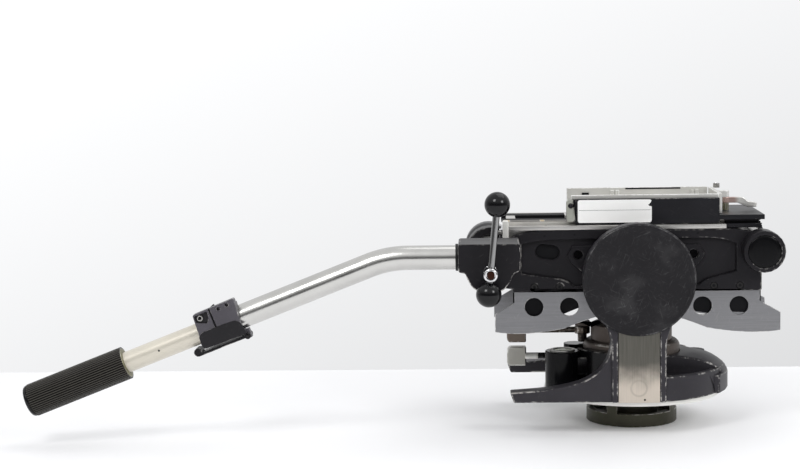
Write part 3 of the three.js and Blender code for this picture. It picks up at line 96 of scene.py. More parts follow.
class HeadColours(bpy.types.PropertyGroup):
    """Colours of the finishes."""

    casting: bpy.props.FloatVectorProperty(
        name="Casting paint", description="Paint of the castings", subtype="COLOR", size=4,
        default=(0.033, 0.031, 0.036, 1))
    bare: bpy.props.FloatVectorProperty(
        name="Bare metal", description="Metal where the paint is rubbed off", subtype="COLOR", size=4,
        default=(0.62, 0.60, 0.57, 1))
    silver: bpy.props.FloatVectorProperty(
        name="Silver", description="Pale anodised metal", subtype="COLOR", size=4,
        default=(0.84, 0.83, 0.79, 1))
    plate: bpy.props.FloatVectorProperty(
        name="Brushed plate", description="Brushed side plates", subtype="COLOR", size=4,
        default=(0.27, 0.27, 0.28, 1))
    ring: bpy.props.FloatVectorProperty(
        name="Ring", description="Dark olive ring under the flange", subtype="COLOR", size=4,
        default=(0.060, 0.058, 0.042, 1))
    housing: bpy.props.FloatVectorProperty(
        name="Housing", description="Brown grey of the pan housing", subtype="COLOR", size=4,
        default=(0.105, 0.088, 0.078, 1))
    plastic: bpy.props.FloatVectorProperty(
        name="Black plastic", description="Ball knobs and grip", subtype="COLOR", size=4,
        default=(0.003, 0.003, 0.0035, 1))
    tube: bpy.props.FloatVectorProperty(
        name="Inner tube", description="Cream coat of the inner tube", subtype="COLOR", size=4,
        default=(0.66, 0.62, 0.53, 1))


def sizes():
    return bpy.context.scene.head_sizes


def colours():
    return bpy.context.scene.head_colours


# Node trees

def put(tree, kind, settings=None, **values):
    """A new node with its settings, and its inputs set or linked by name or place."""
    made = tree.nodes.new(kind)
    for name, value in (settings or {}).items():
        setattr(made, name, value)
    for name, value in values.items():
        key = int(name[1:]) if name[0] == "i" and name[1:].isdigit() else name.replace("_", " ")
        connect(tree, made.inputs[key], value)
    return made


def connect(tree, socket, value):
    if isinstance(value, bpy.types.NodeSocket):
        tree.links.new(value, socket)
    elif value is not None:
        socket.default_value = value


def maths(tree, operation, first, second=None, clamp=False):
    settings = {"operation": operation, "use_clamp": clamp}
    return put(tree, "ShaderNodeMath", settings, i0=first, i1=second).outputs[0]


def vectors(tree, operation, first, second=None):
    """Vector arithmetic, which gives a number for DISTANCE and LENGTH."""
    made = put(tree, "ShaderNodeVectorMath", {"operation": operation}, i0=first, i1=second)
    return made.outputs["Value" if operation in ("DISTANCE", "LENGTH") else "Vector"]


def blended(tree, share, first, second, kind="MIX"):
    """A colour between two colours, or another blend of them."""
    settings = {"data_type": "RGBA", "blend_type": kind}
    return put(tree, "ShaderNodeMix", settings, i0=share, i6=first, i7=second).outputs[2]


def ramp(tree, value, low, high, start=0.0, end=1.0, kind="LINEAR"):
    """A number that goes from start to end while the value goes from low to high."""
    return put(tree, "ShaderNodeMapRange", {"interpolation_type": kind}, Value=value, From_Min=low,
               From_Max=high, To_Min=start, To_Max=end).outputs[0]


def between(tree, share, low, high):
    """A number between two numbers."""
    return ramp(tree, share, 0.0, 1.0, low, high)


def noise(tree, place, scale, detail, **values):
    """Noise, of another pattern for each W where that is given."""
    dimensions = {"noise_dimensions": "4D" if "W" in values else "3D"}
    return put(tree, "ShaderNodeTexNoise", dimensions, Vector=place, Scale=scale, Detail=detail,
               **values).outputs[0]


def shader_group(name, inputs, outputs, fill):
    """A shader node group, built once."""
    tree = bpy.data.node_groups.get(name)
    if tree:
        return tree
    tree = bpy.data.node_groups.new(name, "ShaderNodeTree")
    for label, kind, default in inputs:
        socket = tree.interface.new_socket(label, in_out="INPUT", socket_type=kind)
        socket.default_value = default
    for label, kind in outputs:
        tree.interface.new_socket(label, in_out="OUTPUT", socket_type=kind)
    start = tree.nodes.new("NodeGroupInput")
    end = tree.nodes.new("NodeGroupOutput")
    for label, socket in fill(tree, start.outputs).items():
        tree.links.new(socket, end.inputs[label])
    return tree


def place_group(tree, group, **values):
    return put(tree, "ShaderNodeGroup", {"node_tree": group}, **values).outputs


def object_coordinates(tree, turn=0.0):
    """The place in the object's own space, turned about Y."""
    place = put(tree, "ShaderNodeTexCoord").outputs["Object"]
    return put(tree, "ShaderNodeMapping", None, Vector=place, Rotation=(0, turn, 0)).outputs[0]


def edge_wear_group():
    """Rubbed edges: the wear attribute of a piece, broken up by noise."""
    def fill(tree, given):
        wear = put(tree, "ShaderNodeAttribute", {"attribute_name": "wear"}).outputs["Fac"]
        place = object_coordinates(tree)
        large = noise(tree, place, given["Scale"], 3.0)
        fine = noise(tree, place, 260.0, 4.0, Roughness=0.7)
        level = maths(tree, "SUBTRACT", 0.62, maths(tree, "MULTIPLY", given["Amount"], 0.2))
        shifted = maths(tree, "SUBTRACT", between(tree, 0.5, large, fine), level)
        patchy = maths(tree, "MULTIPLY", shifted, 9.0, clamp=True)
        return {"Mask": maths(tree, "MULTIPLY", wear, patchy, clamp=True)}
    return shader_group("Edge wear", [("Amount", "NodeSocketFloat", 0.6), ("Scale", "NodeSocketFloat", 24.0)],
                        [("Mask", "NodeSocketFloat")], fill)


def grain_group():
    """Fine grain for the surface height, and slow clouds for its tone."""
    def fill(tree, given):
        place = object_coordinates(tree)
        return {"Height": noise(tree, place, given["Scale"], 3.0),
                "Tone": noise(tree, place, given["Clouds"], 4.0)}
    return shader_group("Grain", [("Scale", "NodeSocketFloat", 1500.0), ("Clouds", "NodeSocketFloat", 22.0)],
                        [("Height", "NodeSocketFloat"), ("Tone", "NodeSocketFloat")], fill)


def brushed_group():
    """Fine parallel strokes along one axis."""
    def fill(tree, given):
        place = put(tree, "ShaderNodeTexCoord").outputs["Object"]
        drawn = vectors(tree, "MULTIPLY", place, given["Stretch"])
        return {"Strokes": noise(tree, drawn, 900.0, 3.0)}
    return shader_group("Brushed", [("Stretch", "NodeSocketVector", (0.03, 1, 1))],
                        [("Strokes", "NodeSocketFloat")], fill)


def scratch_group():
    """Thin scratches in four directions, each kept in patches."""
    def fill(tree, given):
        total = None
        for turn, seed in ((0.4, 0.0), (1.1, 3.1), (1.9, 5.2), (2.7, 7.3)):
            place = object_coordinates(tree, turn)
            drawn = vectors(tree, "MULTIPLY", place, (0.13, 1, 1))
            lines = noise(tree, drawn, given["Scale"], 2.0, W=seed, Distortion=0.7)
            gate = noise(tree, place, 35.0, 1.0, W=seed + 1)
            thin = maths(tree, "MULTIPLY", maths(tree, "SUBTRACT", lines, given["Threshold"]), 18.0, clamp=True)
            kept = maths(tree, "MULTIPLY", thin, maths(tree, "SUBTRACT", gate, 0.35, clamp=True), clamp=True)
            total = kept if total is None else maths(tree, "ADD", total, kept, clamp=True)
        return {"Mask": total}
    return shader_group("Scratches", [("Scale", "NodeSocketFloat", 900.0), ("Threshold", "NodeSocketFloat", 0.62)],
                        [("Mask", "NodeSocketFloat")], fill)


# Finishes

def shader(name, **values):
    """A material with a plain shader, and its tree and shader node."""
    made = bpy.data.materials.new(name)
    made.use_nodes = True
    body = made.node_tree.nodes["Principled BSDF"]
    for label, value in values.items():
        body.inputs[label.replace("_", " ")].default_value = value
    return made, made.node_tree, body


def bump(tree, body, height, strength, distance):
    made = put(tree, "ShaderNodeBump", None, Height=height, Strength=strength, Distance=distance)
    tree.links.new(made.outputs[0], body.inputs["Normal"])


def shade(colour, factor):
    return tuple(min(1.0, c * factor) for c in colour[:3]) + (1,)


def painted(name, colour, wear=0.45, roughness=0.42, patch=24.0, metal=0.25, strength=0.75,
            inner=False, shine=0.3):
    """Paint over light alloy, rubbed through along its edges; with inner, darkened inside the yoke as painted shade,
    and glossier there.
    """
    made, tree, body = shader(name, Specular_IOR_Level=shine)
    grain = place_group(tree, grain_group(), Scale=900.0, Clouds=26.0)
    mask = place_group(tree, edge_wear_group(), Amount=wear, Scale=patch)["Mask"]
    nicks = place_group(tree, scratch_group(), Scale=700.0, Threshold=0.66)["Mask"]
    rubbed = maths(tree, "MULTIPLY", mask, strength)
    shown = maths(tree, "MAXIMUM", rubbed, maths(tree, "MULTIPLY", nicks, 0.08))
    coat = blended(tree, grain["Tone"], shade(colour, 0.72), shade(colour, 1.35))
    rough = between(tree, grain["Tone"], roughness - 0.08, roughness + 0.12)
    # With inner, the paint inside the yoke is darkened as painted shade, and made glossier.
    if inner:
        ahead, side, _ = put(tree, "ShaderNodeSeparateXYZ", None,
                             Vector=object_coordinates(tree)).outputs
        near = ramp(tree, maths(tree, "ABSOLUTE", side), 0.066, 0.060)
        inside_shade = maths(tree, "MULTIPLY", near, ramp(tree, ahead, 0.012, 0.0))
        coat = blended(tree, inside_shade, coat, shade(colour, 0.15))
        rough = between(tree, inside_shade, rough, 0.2)
        shown = maths(tree, "MULTIPLY", shown, between(tree, inside_shade, 1.0, 0.35))
    connect(tree, body.inputs["Base Color"], blended(tree, shown, coat, colours().bare))
    connect(tree, body.inputs["Metallic"], between(tree, shown, metal, 0.85))
    connect(tree, body.inputs["Roughness"], maths(tree, "SUBTRACT", rough, maths(tree, "MULTIPLY", shown, 0.12)))
    bump(tree, body, grain["Height"], 0.25, 0.00012)
    return made


def worn_cover(name, colour):
    """The scratched paint of the drum covers."""
    made, tree, body = shader(name, Specular_IOR_Level=0.2)
    grain = place_group(tree, grain_group(), Scale=420.0, Clouds=30.0)
    fine = place_group(tree, scratch_group(), Scale=750.0, Threshold=0.62)["Mask"]
    mask = place_group(tree, edge_wear_group(), Amount=0.7, Scale=30.0)["Mask"]
    rubbed = maths(tree, "MULTIPLY", maths(tree, "SUBTRACT", grain["Tone"], 0.52, clamp=True), 0.6, clamp=True)
    lines = maths(tree, "ADD", maths(tree, "MULTIPLY", fine, 0.4), rubbed, clamp=True)
    shown = maths(tree, "MAXIMUM", maths(tree, "MULTIPLY", mask, 0.6), lines)
    coat = blended(tree, grain["Tone"], shade(colour, 0.8), shade(colour, 1.3))
    connect(tree, body.inputs["Base Color"], blended(tree, shown, coat, (0.20, 0.198, 0.20, 1)))
    connect(tree, body.inputs["Metallic"], between(tree, shown, 0.1, 0.5))
    connect(tree, body.inputs["Roughness"], between(tree, grain["Tone"], 0.42, 0.6))
    bump(tree, body, maths(tree, "ADD", grain["Height"], fine), 0.3, 0.0001)
    return made


def satin_metal(name, colour, roughness=0.34, wear=0.0, dirt=0.22, metal=1.0, rim=None):
    """Anodised or plain metal with soft clouds of handling marks."""
    made, tree, body = shader(name, Metallic=metal)
    grain = place_group(tree, grain_group(), Scale=1400.0, Clouds=34.0)
    base = blended(tree, grain["Tone"], shade(colour, 1 - dirt), shade(colour, 1 + dirt))
    if wear:
        mask = place_group(tree, edge_wear_group(), Amount=wear, Scale=70.0)["Mask"]
        base = blended(tree, mask, base, rim or colours().bare)
    connect(tree, body.inputs["Base Color"], base)
    connect(tree, body.inputs["Roughness"], between(tree, grain["Tone"], roughness - 0.08, roughness + 0.14))
    bump(tree, body, grain["Height"], 0.12, 0.00008)
    return made


def brushed_metal(name, colour, stretch, roughness=0.34):
    """Metal brushed along one axis, with stains."""
    made, tree, body = shader(name, Metallic=1.0)
    strokes = place_group(tree, brushed_group(), Stretch=stretch)["Strokes"]
    grain = place_group(tree, grain_group(), Scale=700.0, Clouds=28.0)
    nicks = place_group(tree, scratch_group(), Scale=600.0, Threshold=0.63)["Mask"]
    tone = blended(tree, strokes, shade(colour, 0.62), shade(colour, 1.35))
    stained = blended(tree, grain["Tone"], tone, shade(colour, 0.95))
    mask = place_group(tree, edge_wear_group(), Amount=0.7, Scale=50.0)["Mask"]
    bright = maths(tree, "MAXIMUM", mask, maths(tree, "MULTIPLY", nicks, 0.2))
    connect(tree, body.inputs["Base Color"], blended(tree, bright, stained, (0.75, 0.74, 0.72, 1)))
    connect(tree, body.inputs["Roughness"], between(tree, strokes, roughness - 0.06, roughness + 0.16))
    bump(tree, body, strokes, 0.2, 0.00008)
    return made


def face_metal(name, dark, light):
    """Upright brushing, dark above and pale sandy below as painted light and shade, with a round rub mark."""
    made, tree, body = shader(name, Metallic=1.0)
    strokes = place_group(tree, brushed_group(), Stretch=(1, 1, 0.03))["Strokes"]
    clouds = place_group(tree, grain_group(), Scale=700.0, Clouds=60.0)["Tone"]
    height = put(tree, "ShaderNodeSeparateXYZ", None, Vector=object_coordinates(tree)).outputs["Z"]
    uneven = maths(tree, "ADD", height, maths(tree, "MULTIPLY", maths(tree, "SUBTRACT", clouds, 0.5), 0.02))
    # Painted light and shade: the plate is dark towards its top and pale towards its foot.
    low = ramp(tree, uneven, 0.076, 0.046, kind="SMOOTHSTEP")
    flat = vectors(tree, "MULTIPLY", object_coordinates(tree), (1, 0, 1))
    reach = vectors(tree, "DISTANCE", flat, (-0.0003, 0, 0.0499))
    ring = ramp(tree, maths(tree, "ABSOLUTE", maths(tree, "SUBTRACT", reach, 0.0078)), 0.0014, 0.0004)
    mark = maths(tree, "MULTIPLY", ring, maths(tree, "MULTIPLY", clouds, 0.7))
    tone = blended(tree, mark, blended(tree, low, dark, light), shade(light, 0.55))
    drawn = blended(tree, strokes, blended(tree, low, (0.6, 0.6, 0.6, 1), (0.88, 0.88, 0.88, 1)),
                    blended(tree, low, (1.4, 1.4, 1.4, 1), (1.12, 1.12, 1.12, 1)))
    connect(tree, body.inputs["Base Color"], blended(tree, 1.0, tone, drawn, "MULTIPLY"))
    connect(tree, body.inputs["Roughness"], between(tree, strokes, 0.3, 0.5))
    bump(tree, body, strokes, 0.2, 0.00008)
    return made


def root_metal(name, root, rest, centre):
    """Pale metal with a rosy root round its pivot."""
    made, tree, body = shader(name, Metallic=1.0)
    grain = place_group(tree, grain_group(), Scale=1400.0, Clouds=60.0)
    reach = vectors(tree, "DISTANCE", object_coordinates(tree), centre)
    uneven = maths(tree, "ADD", reach, maths(tree, "MULTIPLY", grain["Tone"], 0.006))
    outer = ramp(tree, uneven, 0.013, 0.018)
    tone = blended(tree, grain["Tone"], shade(rest, 0.8), shade(rest, 1.15))
    connect(tree, body.inputs["Base Color"], blended(tree, outer, root, tone))
    connect(tree, body.inputs["Roughness"], between(tree, grain["Tone"], 0.22, 0.42))
    bump(tree, body, grain["Height"], 0.12, 0.00008)
    return made


def clouded(name, tones, gloss, scale, clouds, relief=None, smear=None, **values):
    """A finish whose tone and gloss drift in slow clouds, with smears or a fine relief."""
    made, tree, body = shader(name, **values)
    grain = place_group(tree, grain_group(), Scale=scale, Clouds=clouds)
    connect(tree, body.inputs["Base Color"], blended(tree, grain["Tone"], *tones))
    if gloss:
        share = maths(tree, "POWER", grain["Tone"], smear) if smear else grain["Tone"]
        connect(tree, body.inputs["Roughness"], between(tree, share, *gloss))
    if relief:
        bump(tree, body, grain["Height"], *relief)
    return made


def shades(colour, dark, light):
    return shade(colour, dark), shade(colour, light)


def polished_metal(name, colour, roughness):
    """Chrome with faint smears."""
    return clouded(name, shades(colour, 0.86, 1.1), (roughness, roughness + 0.22), 500.0, 40.0,
                   smear=2.0, Metallic=1.0)


def plastic(name, colour, roughness=0.07, shine=0.3):
    """Moulded plastic with a handled gloss."""
    return clouded(name, shades(colour, 0.7, 1.8), (roughness, roughness + 0.10), 1100.0, 50.0,
                   (0.04, 0.00004), Metallic=0.0, Specular_IOR_Level=shine)


def fluted_plastic(name, groove, ridge):
    """Black moulding whose ridges, the places furthest from the bar's axis, are paler than the grooves: painted light
    on the ridges and painted shade in the grooves.
    """
    made, tree, body = shader(name, Metallic=0.0, Specular_IOR_Level=0.35)
    grain = place_group(tree, grain_group(), Scale=1100.0, Clouds=50.0)
    from_corner = vectors(tree, "SUBTRACT", object_coordinates(tree), BAR_CORNER)
    radius = vectors(tree, "LENGTH", vectors(tree, "CROSS_PRODUCT", from_corner, BAR_OUT))
    crest = 0.0164
    # Painted light and shade: pale crests and near black grooves, patchy with the clouds; rubbed here holds this
    # painted light.
    top = ramp(tree, radius, crest - 0.4 * sizes().flute_depth, crest)
    rubbed = maths(tree, "MULTIPLY", top, between(tree, grain["Tone"], 0.5, 1.0))
    connect(tree, body.inputs["Base Color"], blended(tree, rubbed, groove, ridge))
    connect(tree, body.inputs["Roughness"], between(tree, grain["Tone"], 0.08, 0.14))
    return made


def make_finishes():
    """All finishes by name."""
    own = colours()
    return {
        # casting: darkened inside the yoke as painted shade
        "casting": painted("Casting paint", own.casting, wear=0.6, strength=0.7, patch=70.0, inner=True,
                           shine=0.24),
        "frame": painted("Frame paint", shade(own.casting, 0.42), wear=0.45, roughness=0.34, strength=0.4, shine=0.17),
        "clamp": painted("Clamp paint", shade(own.casting, 0.42), wear=0.65, roughness=0.36, strength=0.9,
                         shine=0.17),
        "block": painted("Block paint", shade(own.casting, 2.5), wear=0.6, roughness=0.34, strength=1.0),
        "block_cover": painted("Block cover paint", shade(own.casting, 0.4), wear=0.45, roughness=0.3),
        "cover": worn_cover("Cover paint", shade(own.casting, 0.36)),
        "anodised": painted("Black anodised plate", (0.014, 0.014, 0.017, 1), wear=0.45, roughness=0.38, metal=0.5),
        "deep": clouded("Shadow black", shades((0.005, 0.005, 0.006), 0.7, 1.6), (0.5, 0.7), 900.0, 40.0,
                        (0.1, 0.00006), Metallic=0.0, Specular_IOR_Level=0.12),
        "silver": satin_metal("Pale silver", own.silver, roughness=0.3, dirt=0.12, metal=0.35),
        # tray: rims rubbed to near white, real wear brightened as a painted highlight
        "tray": satin_metal("Tray metal", shade(own.silver, 0.76), roughness=0.3, wear=0.95, dirt=0.16, metal=0.45,
                            rim=(0.97, 0.97, 0.95, 1)),
        "plate": brushed_metal("Brushed side plate", own.plate, (0.03, 1, 1)),
        # upright: dark above and pale below as painted light and shade
        "upright": face_metal("Brushed face plate", (0.13, 0.125, 0.11, 1), (0.66, 0.59, 0.51, 1)),
        "ring": painted("Olive ring", own.ring, wear=0.75, roughness=0.4, metal=0.7),
        "housing": painted("Brown housing", own.housing, wear=0.5, roughness=0.45, metal=0.75),
        "steel": satin_metal("Turned steel", (0.50, 0.49, 0.47, 1), roughness=0.28),
        "screw": satin_metal("Blackened screw", (0.035, 0.034, 0.034, 1), roughness=0.3),
        "tan": satin_metal("Brown lever", (0.15, 0.125, 0.105, 1), roughness=0.36, wear=0.5),
        "nut": satin_metal("Green brown nut", (0.26, 0.25, 0.17, 1), roughness=0.42, wear=0.7),
        "catch": satin_metal("Grey green catch", (0.44, 0.45, 0.40, 1), roughness=0.4, wear=0.7),
        "lever": root_metal("Lever metal", (0.52, 0.38, 0.34, 1), own.silver, (0.0957, -0.008, 0.2262)),
        "rust": satin_metal("Dark red brown recess", (0.045, 0.02, 0.014, 1), roughness=0.4),
        "chrome": polished_metal("Chrome", (0.74, 0.74, 0.75, 1), roughness=0.06),
        "tube": polished_metal("Tube chrome", (0.60, 0.595, 0.575, 1), roughness=0.16),
        "dark_chrome": polished_metal("Dark chrome", (0.27, 0.27, 0.27, 1), roughness=0.03),
        "cream": clouded("Cream tube", shades(own.tube, 0.86, 1.08), (0.22, 0.4), 900.0, 36.0,
                         Metallic=0.25, Coat_Weight=0.3, Coat_Roughness=0.12),
        "plastic": plastic("Gloss black plastic", own.plastic),
        # grip: near black grooves as painted shade, paler ridges as painted light
        "grip": fluted_plastic("Grip plastic", (0.002, 0.002, 0.002, 1), (0.05, 0.046, 0.038, 1)),
        "plug": plastic("Gloss plug", own.plastic, roughness=0.16, shine=0.12),
        # pod: black as painted shade
        "pod": plastic("Gloss black pod shade", own.plastic, roughness=0.12, shine=0.12),
        "paddle": satin_metal("Worn cream paddle", (0.44, 0.43, 0.39, 1), roughness=0.36, wear=0.8, metal=0.4,
                              rim=(0.85, 0.85, 0.82, 1)),
        "matt": plastic("Matt black plastic", shade(own.plastic, 1.6), roughness=0.45),
        "gold": satin_metal("Yellow brass", (0.55, 0.42, 0.20, 1), roughness=0.3),
        "deck": satin_metal("Deck metal", (0.60, 0.59, 0.57, 1), roughness=0.34, wear=0.9),
        "bronze": satin_metal("Brown grey pad", (0.11, 0.10, 0.085, 1), roughness=0.4),
        "glass": clouded("Level glass", ((0.62, 0.72, 0.35, 1), (0.78, 0.85, 0.5, 1)), None, 300.0, 60.0,
                         Metallic=0.0, Roughness=0.03, Transmission_Weight=0.6, IOR=1.45),
        "vinyl": clouded("White vinyl", ((0.90, 0.90, 0.88, 1), (0.97, 0.97, 0.96, 1)), (0.35, 0.55),
                         600.0, 90.0, Metallic=0.0, Coat_Weight=0.2, Coat_Roughness=0.3),
    }


# Mesh making

def bare_bmesh():
    made = bmesh.new()
    made.faces.layers.float.new("wear")
    return made


def linked(name, data):
    """A new object of the scene."""
    made = bpy.data.objects.new(name, data)
    bpy.context.collection.objects.link(made)
    return made


def object_from(bm, name, finish):
    """A mesh object from a bmesh, shaded smooth over blunt edges, with weighted normals."""
    for face in bm.faces:
        face.smooth = True
    for edge in bm.edges:
        edge.smooth = len(edge.link_faces) == 2 and edge.calc_face_angle(0.0) < SMOOTH_EDGE
    mesh = bpy.data.meshes.new(name)
    bm.to_mesh(mesh)
    if "wear" not in mesh.attributes:
        mesh.attributes.new("wear", "FLOAT", "FACE")
    bm.free()
    made = linked(name, mesh)
    mesh.materials.append(FINISHES[finish])
    weigh = made.modifiers.new("Normals", "WEIGHTED_NORMAL")
    weigh.keep_sharp = True
    weigh.weight = 80
    return settled(made)


def settled(made):
    """The object with its modifiers made real and taken off."""
    graph = bpy.context.evaluated_depsgraph_get()
    finished = bpy.data.meshes.new_from_object(made.evaluated_get(graph), preserve_all_data_layers=True,
                                               depsgraph=graph)
    finished.name = made.name
    made.modifiers.clear()
    old = made.data
    made.data = finished
    bpy.data.meshes.remove(old)
    return made


def worn_bevel(bm, width, segments=2):
    """Rounds the sharp convex edges and marks the new faces as worn."""
    wear = bm.faces.layers.float.get("wear") or bm.faces.layers.float.new("wear")
    sharp = [e for e in bm.edges if len(e.link_faces) == 2 and e.is_convex
             and e.calc_face_angle(0.0) > SHARP_EDGE and e.calc_length() > 0.6 * width]
    made = bmesh.ops.bevel(bm, geom=sharp, offset=width, offset_type="OFFSET", segments=segments,
                           profile=0.5, affect="EDGES", clamp_overlap=False, material=-1)
    for face in made["faces"]:
        if face.is_valid:
            face[wear] = 1.0
    bmesh.ops.remove_doubles(bm, verts=bm.verts, dist=1e-6)
    bmesh.ops.recalc_face_normals(bm, faces=bm.faces)


def cleaned_copy(name):
    """A merged copy of a CAD node's mesh, its flat regions made whole."""
    bm = bmesh.new()
    bm.from_mesh(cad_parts[name].data)
    bmesh.ops.remove_doubles(bm, verts=bm.verts, dist=MERGE)
    bmesh.ops.dissolve_degenerate(bm, dist=MERGE, edges=bm.edges)
    bmesh.ops.dissolve_limit(bm, angle_limit=math.radians(1.2), use_dissolve_boundaries=False,
                             verts=bm.verts, edges=bm.edges)
    return bm


def piece(bm, name, finish, body, nodes=(), width=0.0004, segments=2, place=None):
    """A piece with rounded edges from a bmesh, in its place, for the CAD nodes it stands for."""
    if width:
        worn_bevel(bm, width, segments)
    if place is not None:
        bm.transform(place)
    made = object_from(bm, name, finish)
    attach(made, body)
    if nodes:
        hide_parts(*nodes)


def refined(name, finish, body, width, segments=2):
    """A CAD node again with rounded, worn edges."""
    piece(cleaned_copy(name), f"{name}_piece", finish, body, (name,), width, segments)


def skinned(bm, rings):
    """Faces from ring to ring of corners, where a ring may be a single point."""
    for low, high in zip(rings, rings[1:]):
        for i in range(max(len(low), len(high))):
            j = i + 1
            corners = (low[i % len(low)], low[j % len(low)], high[j % len(high)],
                       high[i % len(high)])
            bm.faces.new(list(dict.fromkeys(corners)))
    bmesh.ops.recalc_face_normals(bm, faces=bm.faces)
    return bm


def turned(profile, facets):
    """A profile of radius and height turned about Z, closed at the axis or as a ring."""
    bm = bare_bmesh()
    rings = []
    for radius, height in profile:
        turns = [2 * math.pi * i / facets for i in range(facets if radius > 1e-7 else 1)]
        rings.append([bm.verts.new((radius * math.cos(a), radius * math.sin(a), height))
                      for a in turns])
    if len(rings[0]) > 1:
        rings.append(rings[0])
    return skinned(bm, rings)


def along(direction, place):
    """A placing that carries Z to the direction and the origin to the place."""
    return Matrix.Translation(place) @ Vector(direction).to_track_quat("Z", "Y").to_matrix().to_4x4()


def turned_piece(name, profile, finish, body, nodes, axis, place, width=0.0004, facets=None):
    """A turned piece with rounded edges, put in its place."""
    piece(turned(profile, facets or sizes().facets), name, finish, body, nodes, width,
          place=along(axis, place))


def box_bmesh(low, high):
    """A box between two corners."""
    bm = bare_bmesh()
    low, high = Vector(low), Vector(high)
    place = Matrix.Translation((low + high) / 2) @ Matrix.Diagonal((*(high - low), 1))
    bmesh.ops.create_cube(bm, size=1.0, matrix=place)
    return bm


def box_piece(name, low, high, finish, body, width):
    piece(box_bmesh(low, high), name, finish, body, width=width)


def rounded(outline, radius, steps=4):
    """The outline with its corners rounded off."""
    made = []
    for i, corner in enumerate(outline):
        middle = Vector(corner)
        before = (Vector(outline[i - 1]) - middle)
        after = (Vector(outline[(i + 1) % len(outline)]) - middle)
        first = middle + before.normalized() * min(radius, before.length * 0.45)
        last = middle + after.normalized() * min(radius, after.length * 0.45)
        for k in range(steps + 1):
            share = k / steps
            made.append(tuple(first * (1 - share) ** 2 + middle * 2 * share * (1 - share) + last * share ** 2))
    return made


def slab(outline, near, far):
    """An outline of x and z carried along Y."""
    bm = bare_bmesh()
    front, back = ([bm.verts.new((x, y, z)) for x, z in outline] for y in (near, far))
    bm.faces.new(front)
    bm.faces.new(back[::-1])
    return skinned(bm, (back, front))


def carved(bm, *tools):
    """The body of a bmesh less the bodies of the tools."""
    parts = []
    for item in (bm, *tools):
        mesh = bpy.data.meshes.new("carving")
        item.to_mesh(mesh)
        item.free()
        parts.append(linked("carving", mesh))
    for tool in parts[1:]:
        cut = parts[0].modifiers.new("Cut", "BOOLEAN")
        cut.operation = "DIFFERENCE"
        cut.solver = "EXACT"
        cut.object = tool
    settled(parts[0])
    made = bmesh.new()
    made.from_mesh(parts[0].data)
    for item in parts:
        mesh = item.data
        bpy.data.objects.remove(item)
        bpy.data.meshes.remove(mesh)
    return made


def on_bar(reach, side, up):
    """A place on the straight stretch of the pan bar, from the bend's corner outwards."""
    return BAR_CORNER + reach * BAR_OUT + side * Vector((0, 1, 0)) + up * BAR_RISE


# Geometry Nodes: repeated forms

def geometry_tree(name, inputs):
    tree = bpy.data.node_groups.new(name, "GeometryNodeTree")
    tree.interface.new_socket("Geometry", in_out="INPUT", socket_type="NodeSocketGeometry")
    for label, kind, default in inputs:
        socket = tree.interface.new_socket(label, in_out="INPUT", socket_type=kind)
        if default is not None:
            socket.default_value = default
    tree.interface.new_socket("Geometry", in_out="OUTPUT", socket_type="NodeSocketGeometry")
    return tree, tree.nodes.new("NodeGroupInput"), tree.nodes.new("NodeGroupOutput")


def end_tree(tree, start, end, geometry, smooth_angle=0.6):
    """Ends a tree in Realize Instances, shading and Set Material."""
    real = put(tree, "GeometryNodeRealizeInstances", None, Geometry=geometry).outputs[0]
    face_angle = put(tree, "GeometryNodeInputMeshEdgeAngle").outputs[0]
    flat = put(tree, "FunctionNodeCompare", {"operation": "LESS_THAN"}, i0=face_angle, i1=smooth_angle).outputs[0]
    edges = put(tree, "GeometryNodeSetShadeSmooth", {"domain": "EDGE"}, Geometry=real, Shade_Smooth=flat).outputs[0]
    faces = put(tree, "GeometryNodeSetShadeSmooth", {"domain": "FACE"}, Geometry=edges, Shade_Smooth=True).outputs[0]
    coated = put(tree, "GeometryNodeSetMaterial", None, Geometry=faces, Material=start.outputs["Material"])
    tree.links.new(coated.outputs[0], end.inputs[0])
    return tree


def screws_tree():
    """Screw heads with a six-sided socket on the points of a mesh, their tops along Z."""
    tree = bpy.data.node_groups.get("Screw heads")
    if tree:
        return tree
    tree, start, end = geometry_tree("Screw heads", [
        ("Radius", "NodeSocketFloat", 0.003), ("Height", "NodeSocketFloat", 0.001),
        ("Socket share", "NodeSocketFloat", 0.5), ("Turn", "NodeSocketVector", (0, 0, 0)),
        ("Material", "NodeSocketMaterial", None)])
    given = start.outputs
    head = put(tree, "GeometryNodeMeshCylinder", None, Vertices=24, Radius=given["Radius"], Depth=given["Height"])
    inner = put(tree, "ShaderNodeMath", {"operation": "MULTIPLY"}, i0=given["Radius"], i1=given["Socket share"])
    socket = put(tree, "GeometryNodeMeshCylinder", None, Vertices=6, Radius=inner.outputs[0], Depth=given["Height"])
    lifted = put(tree, "ShaderNodeCombineXYZ", None, Z=put(
        tree, "ShaderNodeMath", {"operation": "MULTIPLY"}, i0=given["Height"], i1=0.6).outputs[0])
    tool = put(tree, "GeometryNodeTransform", None, Geometry=socket.outputs[0], Translation=lifted.outputs[0])
    cut = put(tree, "GeometryNodeMeshBoolean", {"operation": "DIFFERENCE", "solver": "FLOAT"},
              i0=head.outputs[0], i1=tool.outputs[0])
    turn = put(tree, "FunctionNodeEulerToRotation", None, Euler=given["Turn"])
    points = put(tree, "GeometryNodeMeshToPoints", None, Mesh=given["Geometry"])
    placed = put(tree, "GeometryNodeInstanceOnPoints", None, Points=points.outputs[0], Instance=cut.outputs[0],
                 Rotation=turn.outputs[0])
    return end_tree(tree, start, end, placed.outputs[0])


